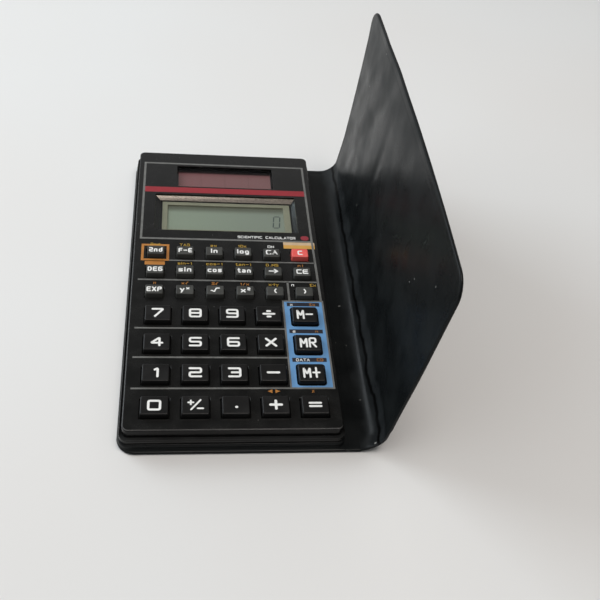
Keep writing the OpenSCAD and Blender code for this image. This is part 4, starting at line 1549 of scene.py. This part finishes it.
@dataclass
class Wallet:
    """The welded vinyl wallet: leaf, rim, spine, soft roll and standing flap.

    The lines bulge and near_end give the roll's shape as (place along the sheet, height). Each
    crease of the flap is (place up and along, slant, width, length, height). Close to its foot,
    over a length of its own, each of the flap's waves fades out. The roll's fold is uneven by
    waves of (share, length, shift). Softened lines are drawn from a start to an end by steps,
    line_span, and the bell that softens them has a reach and a spread.
    """

    vinyl_t: float = 1.2
    length: float = 144.4
    leaf_left: float = -37.4
    leaf_corner: float = 6.0
    crease_x: float = 37.6
    crease_half: float = 0.8
    web_t: float = 0.44
    web_under: float = 0.85
    seam_x: float = 42.0
    roll_x: float = 43.885
    roll_r: float = 6.5
    rise: float = 86.5
    corner_x: float = 50.0
    flap_w: float = 80.5
    flap_corner: float = 7.0
    edge_r: float = 0.6
    weld_in: float = 2.6
    weld_w: float = 1.1
    weld_depth: float = 0.05
    bow: Triple = (1.45, -1.35, -1.9)
    bulge: tuple[Pair, ...] = (
        (-6.0, 0.0), (-2.0, -0.05), (0.0, -0.3), (2.5, -0.5), (4.0, -0.56), (6.0, -0.88),
        (8.0, -0.8), (10.0, -0.3), (12.0, 0.05), (14.0, 0.13), (17.0, 0.16), (22.0, 0.16),
        (30.0, 0.12), (40.0, 0.05), (52.0, 0.0), (66.0, 0.0),
    )  # fmt: skip
    near_end: tuple[Pair, ...] = (
        (-6.0, 0.0), (-2.8, 0.0), (-1.0, -0.5), (0.0, -1.0), (2.0, -1.6), (4.0, -2.0),
        (6.0, -2.1), (8.0, -1.9), (10.0, -1.5), (12.0, -0.85), (14.0, -0.25), (16.0, 0.0),
        (66.0, 0.0),
    )  # fmt: skip
    near_end_y: float = 66.0
    middle_y: Triple = (-3.0, 38.0, 64.0)
    slack: float = 0.5
    slack_reach: float = 2.6
    uneven: tuple[Triple, ...] = ((0.12, 9.0, 0.0), (0.08, 3.7, 2.0))
    line_span: Triple = (-6.0, 66.0, 0.1)
    bell: Pair = (2.5, 1.2)
    creases: tuple[tuple[float, ...], ...] = (
        (38.0, 44.0, -0.55, 4.0, 26.0, 0.35), (52.0, 56.0, -0.45, 3.5, 20.0, -0.3),
        (45.0, 19.0, 0.0, 2.6, 20.0, 0.3), (16.0, 52.0, -0.3, 3.5, 14.0, -0.3),
        (30.0, -10.0, 0.2, 6.0, 26.0, 0.2), (60.0, 34.0, -0.3, 6.0, 24.0, 0.25),
    )  # fmt: skip
    tuck: float = 0.9
    tuck_u: float = 42.0
    tuck_y: float = 44.0
    flare: float = 0.6
    flare_y: float = 40.0
    flare_end: Triple = (0.7, 58.0, 80.0)
    foot: Triple = (5.0, 14.0, 16.0)
    rim_x: float = 36.45
    rim_y: Pair = (-70.35, 69.8)
    rim_corner: float = 2.55

    def half_thickness(self, edge: np.ndarray) -> np.ndarray:
        """Half the sheet's thickness.

        The edge itself is a half circle, and the weld a shallow groove that runs along it.

        Args:
            edge: How far each point is from the cut edge.

        Returns:
            Half the thickness at each point.
        """
        round_off = np.sqrt(np.clip(1 - (1 - np.clip(edge / self.edge_r, 0, 1)) ** 2, 0, 1))
        weld = np.exp(-(((edge - self.weld_in) / (self.weld_w / 2)) ** 2))
        return self.vinyl_t / 2 * round_off - self.weld_depth / 2 * weld

    def edge_lines(self) -> np.ndarray:
        """Grid lines close to a cut edge, as distances from it."""
        return np.array([0, 0.03, 0.1, 0.22, 0.4, 0.6, 1, 1.5, 1.9, 2.2, 2.45, 2.75, 3, 3.4, 4])

    def corner_lines(self, corner: float) -> np.ndarray:
        """Grid lines over a rounded corner, as distances from the cut edge."""
        return corner * (1 - np.cos(np.radians(np.arange(30, 91, 6))))

    def across_lines(self) -> np.ndarray:
        """Grid lines from one end of the sheet to the other, close together near the ends.

        Returns:
            Their places as shares of half the length, -1 to 1.
        """
        near = self.edge_lines() / (self.length / 2)
        inner = np.linspace(4.0, self.length / 2, 42)[1:] / (self.length / 2)
        half = 1 - np.concatenate([near, inner])
        return np.concatenate([-half, half[-2::-1]])

    def grid(self, from_edge: np.ndarray, corner: float) -> tuple[np.ndarray, np.ndarray]:
        """Where the points of a sheet with two rounded corners lie, and how thick it is there.

        Half the length is a quarter circle near the free edge, then full. A point lies inside
        the outline by the radius less the way to a corner's centre where it is past that, and
        elsewhere by the nearer of the free edge and the sheet's end.

        Args:
            from_edge: Distance of each row from the free edge, as a column.
            corner: Radius of the corners.

        Returns:
            The place along the crease and half the thickness, rows by columns.
        """
        inside = np.clip(corner - from_edge, 0, corner)
        reach = self.length / 2 - corner + np.sqrt(np.clip(corner**2 - inside**2, 0, None))
        y = self.across_lines()[None, :] * reach
        over, short = np.abs(y) - (self.length / 2 - corner), corner - from_edge
        round_part = corner - np.hypot(np.clip(over, 0, None), np.clip(short, 0, None))
        straight = np.minimum(from_edge, self.length / 2 - np.abs(y))
        edge = np.where((over > 0) & (short > 0), round_part, straight)
        return y, self.half_thickness(edge)

    def shell(
        self, name: str, middle: np.ndarray, half: np.ndarray, flat: np.ndarray, seam_last: bool
    ) -> bpy.types.Object:
        """Makes a closed sheet from its middle surface and half thickness.

        The two skins lie half a thickness away along the middle surface's normal, which is the
        cross product of its two grid directions. They share the points of the three cut edges,
        and a strip closes the fourth, the seam.

        Args:
            name: The piece's name.
            middle: Rows across the crease, columns along it, x, y, z.
            half: Half the thickness at each point.
            flat: Where each point lies on the flat sheet, in millimetres.
            seam_last: Whether the seam is the last row, and else the first.

        Returns:
            The object.
        """
        normal = np.cross(np.gradient(middle, axis=0), np.gradient(middle, axis=1))
        normal /= np.linalg.norm(normal, axis=2, keepdims=True)
        offset = normal * half[..., None]
        upper = np.arange(half.size).reshape(half.shape)
        cut = np.zeros(half.shape, bool)
        cut[:, [0, -1]] = True
        cut[0 if seam_last else -1] = True
        lower = np.where(cut, upper, upper + half.size)
        end = -1 if seam_last else 0
        strip = np.stack([upper[end], lower[end]])[:: 1 if seam_last else -1]
        number = np.concatenate([quads(upper), quads(lower)[:, ::-1], quads(strip)])
        points = np.concatenate([middle + offset, middle - offset]).reshape(-1, 3)
        used, renumbered = np.unique(number, return_inverse=True)
        faces = [list(dict.fromkeys(face)) for face in renumbered.reshape(number.shape).tolist()]
        build = Build()
        build.add(points[used], [face for face in faces if len(face) > 2])
        made = build.piece(name, VINYL, sharp=50.0)
        lay_flat(made, np.concatenate([flat, flat]).reshape(-1, 2)[used] * SHEET_SCALE)
        return made

    def leaf(self) -> None:
        """The back leaf and the near part of the spine, with the thinned crease between them.

        The thickness falls to the web's over the crease, most of it from the underside.
        """
        by_crease = np.array([0.1, 0.3, 0.5, 0.7, 0.9, 1.2, 1.6])
        u = np.concatenate([
            self.leaf_left + self.edge_lines(),
            self.leaf_left + self.corner_lines(self.leaf_corner),
            np.linspace(self.leaf_left + 8, self.crease_x - 3, 22),
            self.crease_x - by_crease, self.crease_x + by_crease, [40.2, self.seam_x],
        ])  # fmt: skip
        u = np.unique(np.round(u, 3))
        y, whole = self.grid((u - self.leaf_left)[:, None], self.leaf_corner)
        x = np.broadcast_to(u[:, None], y.shape)
        crease = 1 - smooth(0.25, self.crease_half, np.abs(x - self.crease_x))
        half = whole * (1 - crease * (1 - self.web_t / self.vinyl_t))
        middle = np.stack([x, y, self.vinyl_t / 2 + self.web_under * (whole - half)], axis=2)
        made = self.shell("wallet_leaf", middle, half, np.stack([x, y], axis=2), seam_last=True)
        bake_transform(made)  # fmt: skip
        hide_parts("wallet_back")

    def soft_line(self, points: tuple[Pair, ...], s: np.ndarray) -> np.ndarray:
        """A line through points, with its corners softened by a bell.

        Args:
            points: A place and a height each.
            s: Where the line is wanted.

        Returns:
            The line's height there.
        """
        places, heights = np.array(points).T
        fine, step, (reach, spread) = np.arange(*self.line_span), self.line_span[2], self.bell
        bell = np.exp(-(np.arange(-reach, reach + step / 2, step) ** 2) / spread)
        soft = np.convolve(np.interp(fine, places, heights), bell / bell.sum(), "same")
        return np.interp(s, fine, soft)

    def fold(self, s: np.ndarray, y: np.ndarray) -> np.ndarray:
        """How far the roll stands out of its radius, along its outer side.

        Over the middle of the length the sheet rises at a low slope, bulges past the turn and
        comes back up the flap: a smoothed line through heights given along the sheet. Towards
        the two ends this fades to slack inwards, a squared sine over the whole turn, and at the
        very near end to a smoothed line of its own.

        Args:
            s: How far past the roll's start, along the sheet.
            y: The place along the crease.

        Returns:
            How far, in millimetres.
        """
        turned = self.roll_r * np.radians(self.rise) + 2 * self.slack_reach
        share = np.clip((s + self.slack_reach) / turned, 0, 1)
        uneven = sum((a * np.sin(y / long + shift) for a, long, shift in self.uneven), 1.0)
        slack = -self.slack * uneven * np.sin(np.pi * share) ** 2
        end = smooth(self.near_end_y, self.length / 2, -y)
        slack = (1 - end) * slack + end * self.soft_line(self.near_end, s)
        bulge = self.soft_line(self.bulge, s) * (0.5 + 0.5 * uneven)
        centre, full, gone = self.middle_y
        middle = 1 - smooth(full, gone, np.abs(y - centre))
        return middle * bulge + (1 - middle) * slack

    def waves(self, u: np.ndarray, y: np.ndarray) -> np.ndarray:
        """How far the flap's middle surface stands out of its plane, along its outer side.

        A bow grows with the height squared, from three numbers for the middle, the slope and
        the curve along the length. On it lie soft creases: each is a bell across a slanting
        line, faded at both ends.

        Args:
            u: How far up the flap from the roll's end.
            y: The place along the crease.

        Returns:
            How far, in millimetres.
        """
        height = np.clip(u / self.flap_w, 0, 1)
        t = y / (self.length / 2)
        bow = (self.bow[0] + self.bow[1] * t + self.bow[2] * t * t) * height**2
        swell = np.zeros(np.broadcast(u, y).shape)
        for u0, y0, slant, wide, long, deep in self.creases:
            across = (y - y0 - slant * (u - u0)) / wide
            swell = swell + deep * np.exp(-(across**2) - ((u - u0) / long) ** 2)
        near = -self.tuck * (1 - smooth(0, self.tuck_u, u))
        near = near * smooth(self.tuck_y, self.length / 2, -y)
        less, start, end = self.flare_end
        both_foot, swell_foot, far_foot = self.foot
        far = self.flare * smooth(self.flare_y, self.length / 2, y)
        far = far * (1 - less * smooth(start, end, u)) * smooth(0, far_foot, u)
        return bow + swell * smooth(0, swell_foot, u) + (near + far) * smooth(0, both_foot, u)

    def flap(self) -> None:
        """The far part of the spine, the soft roll and the flap.

        The middle line goes flat to the roll, round it through the rise angle on its radius, and
        straight on up the flap; the fold and the waves are added along its outer normal.
        """
        rise = np.radians(self.rise)
        reach = self.roll_r * np.tan(rise / 2)
        level, arc = self.roll_x - self.seam_x, self.roll_r * rise
        end = self.flap_w - reach
        total = level + arc + end
        s = np.concatenate([
            np.linspace(0, level, 3), level + arc * np.linspace(0, 1, 17),
            level + np.linspace(-1.0, 16.0, 35), level + arc + np.linspace(0, end - 8, 60)[1:],
            total - self.edge_lines(), total - self.corner_lines(self.flap_corner),
        ])  # fmt: skip
        s = np.unique(np.round(s, 3))[:, None]
        y, half = self.grid(total - s, self.flap_corner)
        turn = np.clip((s - level) / self.roll_r, 0, rise)
        past = np.clip(s - level - arc, 0, None)
        x = self.seam_x + np.clip(s, 0, level) + self.roll_r * np.sin(turn) + past * np.cos(rise)
        z = self.vinyl_t / 2 + self.roll_r * (1 - np.cos(turn)) + past * np.sin(rise)
        out = self.waves(past, y) + self.fold(s - level, y)
        middle = np.stack([x + out * np.sin(turn), y, z - out * np.cos(turn)], axis=2)
        flat = np.stack([np.broadcast_to(self.seam_x + s, y.shape), y], axis=2)
        made = self.shell("wallet_flap_sheet", middle, half, flat, seam_last=False)
        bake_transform(made)
        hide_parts("wallet_spine", "wallet_flap")

    def rim(self) -> None:
        """The welded rim, a rounded profile carried along the three walls.

        The path runs down the left wall, round the near corners on quarter circles and up the
        right wall; the profile is set out from the path's normal and its height.
        """
        x, (near, far), r = self.rim_x, self.rim_y, self.rim_corner
        turn = np.radians(np.linspace(0, 90, 9))[:, None]
        arc = np.hstack([-x + r - r * np.cos(turn), near + r - r * np.sin(turn)])
        side = np.linspace(far, near + r, 30)[:-1, None]
        left = np.vstack([np.hstack([np.full_like(side, -x), side]), arc])
        front = np.linspace(-x + r, x - r, 24)[1:-1, None]
        front = np.hstack([front, np.full_like(front, near)])
        path = np.vstack([left, front, (left * [-1, 1])[::-1]])
        along = np.gradient(path, axis=0)
        along /= np.linalg.norm(along, axis=1, keepdims=True)
        outward = np.stack([along[:, 1], -along[:, 0]], axis=1)
        profile = np.array([
            (-0.35, 1.15), (0.6, 1.15), (0.58, 1.3), (0.45, 1.5), (0.36, 1.8), (0.35, 2.6),
            (0.3, 2.95), (0.17, 3.18), (-0.05, 3.29), (-0.35, 3.3), (-0.7, 3.27), (-0.82, 3.18),
            (-0.85, 3.0), (-0.82, 2.82), (-0.7, 2.73), (-0.35, 2.7),
        ])  # fmt: skip
        flat = path[:, None] + outward[:, None] * profile[None, :, :1]
        heights = np.broadcast_to(profile[None, :, 1:], (len(path), len(profile), 1))
        build = Build()
        build.skin(np.concatenate([flat, heights], axis=2))
        made = build.piece("wallet_rim_weld", VINYL, sharp=50.0)
        girth, run = np.linspace(0, 0.05, len(profile)), np.linspace(0, 3.5, len(path))
        lay_flat(made, np.stack(np.meshgrid(girth, run), axis=2).reshape(-1, 2))
        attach(made, Body.WALLET.value)
        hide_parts("wallet_rim")

    def build(self) -> None:
        """Makes the wallet's three pieces."""
        self.leaf()
        self.flap()
        self.rim()


# Studio


@dataclass
class Studio:
    """Camera, pale floor and soft light. Directions point from the object to what shines."""

    eye: Triple = (-17.392, -208.556, 227.841)
    tilt: Triple = (42.038, -6.8028, -4.9856)
    lens: float = 48.272
    sensor: float = 36.0
    clip: Pair = (0.01, 20.0)
    floor_size: float = 3000.0
    floor_corner: float = 60.0
    floor_z: Pair = (-10.0, -0.02)
    window: Triple = (-0.35, 0.75, 0.56)
    window_span: Pair = (0.1, 0.95)
    room: Pair = (0.17, 0.8)
    dim_patch: Triple = (0.06, 0.4, 0.915)
    patch_span: Pair = (0.84, 0.975)
    patch_level: float = 0.05
    side_window: Triple = (-0.92, -0.25, 0.3)
    side_span: Pair = (0.86, 0.97)
    side_level: float = 1.3
    warm_span: Pair = (-0.4, 1.0)
    cool: Colour = (0.965, 0.985, 1.0)
    warm: Colour = (1.0, 0.93, 0.88)

    def camera(self) -> None:
        """The camera at the photograph's place."""
        data = bpy.data.cameras.new("camera")
        data.sensor_width, data.lens = self.sensor, self.lens
        data.clip_start, data.clip_end = self.clip
        made = bpy.data.objects.new("camera", data)
        made.location = Vector(self.eye) * MM
        made.rotation_euler = np.radians(self.tilt)
        bpy.context.scene.collection.objects.link(made)
        bpy.context.scene.camera = made

    def floor(self) -> None:
        """The pale table: a wide slab just under the wallet."""
        build = Build()
        half = self.floor_size / 2
        build.skin(ring_stack([(half, half, self.floor_corner, z) for z in self.floor_z]))
        build.piece("table", TABLE)

    def lamp(
        self, name: str, spot: Triple, aim: Triple, size: float, power: float, colour: Colour
    ) -> None:
        """A square soft lamp at a spot, turned to what it lights.

        Args:
            name: The lamp's name.
            spot: Where it stands, in millimetres.
            aim: What it is turned to, in millimetres.
            size: Its side, in millimetres.
            power: Its power, in watts.
            colour: Its colour.
        """
        data = bpy.data.lights.new(name, "AREA")
        data.energy, data.size, data.color = power, size * MM, colour
        made = bpy.data.objects.new(name, data)
        made.location = Vector(spot) * MM
        look = (Vector(aim) - Vector(spot)).normalized()
        made.rotation_euler = look.to_track_quat("-Z", "Y").to_euler()
        bpy.context.scene.collection.objects.link(made)

    def world(self) -> None:
        """A pale room: bright to the far left and overhead, dim and warmer to the near right.

        The level goes smoothly with the dot product of a direction and the window's direction;
        a wide patch high on the far side, which the level face mirrors, is dimmer, and a small
        one low on the left, a second window, is brighter.
        """
        world = bpy.data.worlds.new("room")
        bpy.context.scene.world = world
        tree = Tree(world)
        way = tree.node("ShaderNodeTexCoord", output="Generated")
        window = tree.toward(way, self.window).step(*self.window_span, *self.room)
        patch = tree.toward(way, self.dim_patch).step(*self.patch_span, 1.0, self.patch_level)
        pane = tree.toward(way, self.side_window).step(*self.side_span, 0.0, self.side_level)
        warmth = tree.part(way, "X").step(*self.warm_span)
        background = tree.node("ShaderNodeBackground", values={
            "Color": tree.blend(warmth, self.cool, self.warm),
            "Strength": window * patch + pane,
        })
        tree.finish(background, "World")

    def build(self) -> None:
        """Sets up everything that isn't the object."""
        self.camera()
        self.floor()
        self.lamp("window_lamp", (-620, 410, 460), (0, 0, 20), 480, 3.95, (0.86, 0.94, 1.0))
        self.lamp("top_lamp", (110, -90, 900), (0, 0, 0), 430, 4.15, (1.0, 0.925, 0.87))
        self.world()
        bpy.context.scene.view_settings.view_transform = "Standard"


def main() -> None:
    """Builds the scene round the frame, assembly by assembly."""
    logging.basicConfig(level=logging.INFO, format="%(name)s %(message)s")
    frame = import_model()
    Studio().build()
    nodes = frame["nodes"]
    Case().build(nodes)
    Insides().build(nodes)
    Display().build(nodes)
    Keypad().build()
    FacePrint().build()
    Wallet().build()


if __name__ == "__main__":
    main()
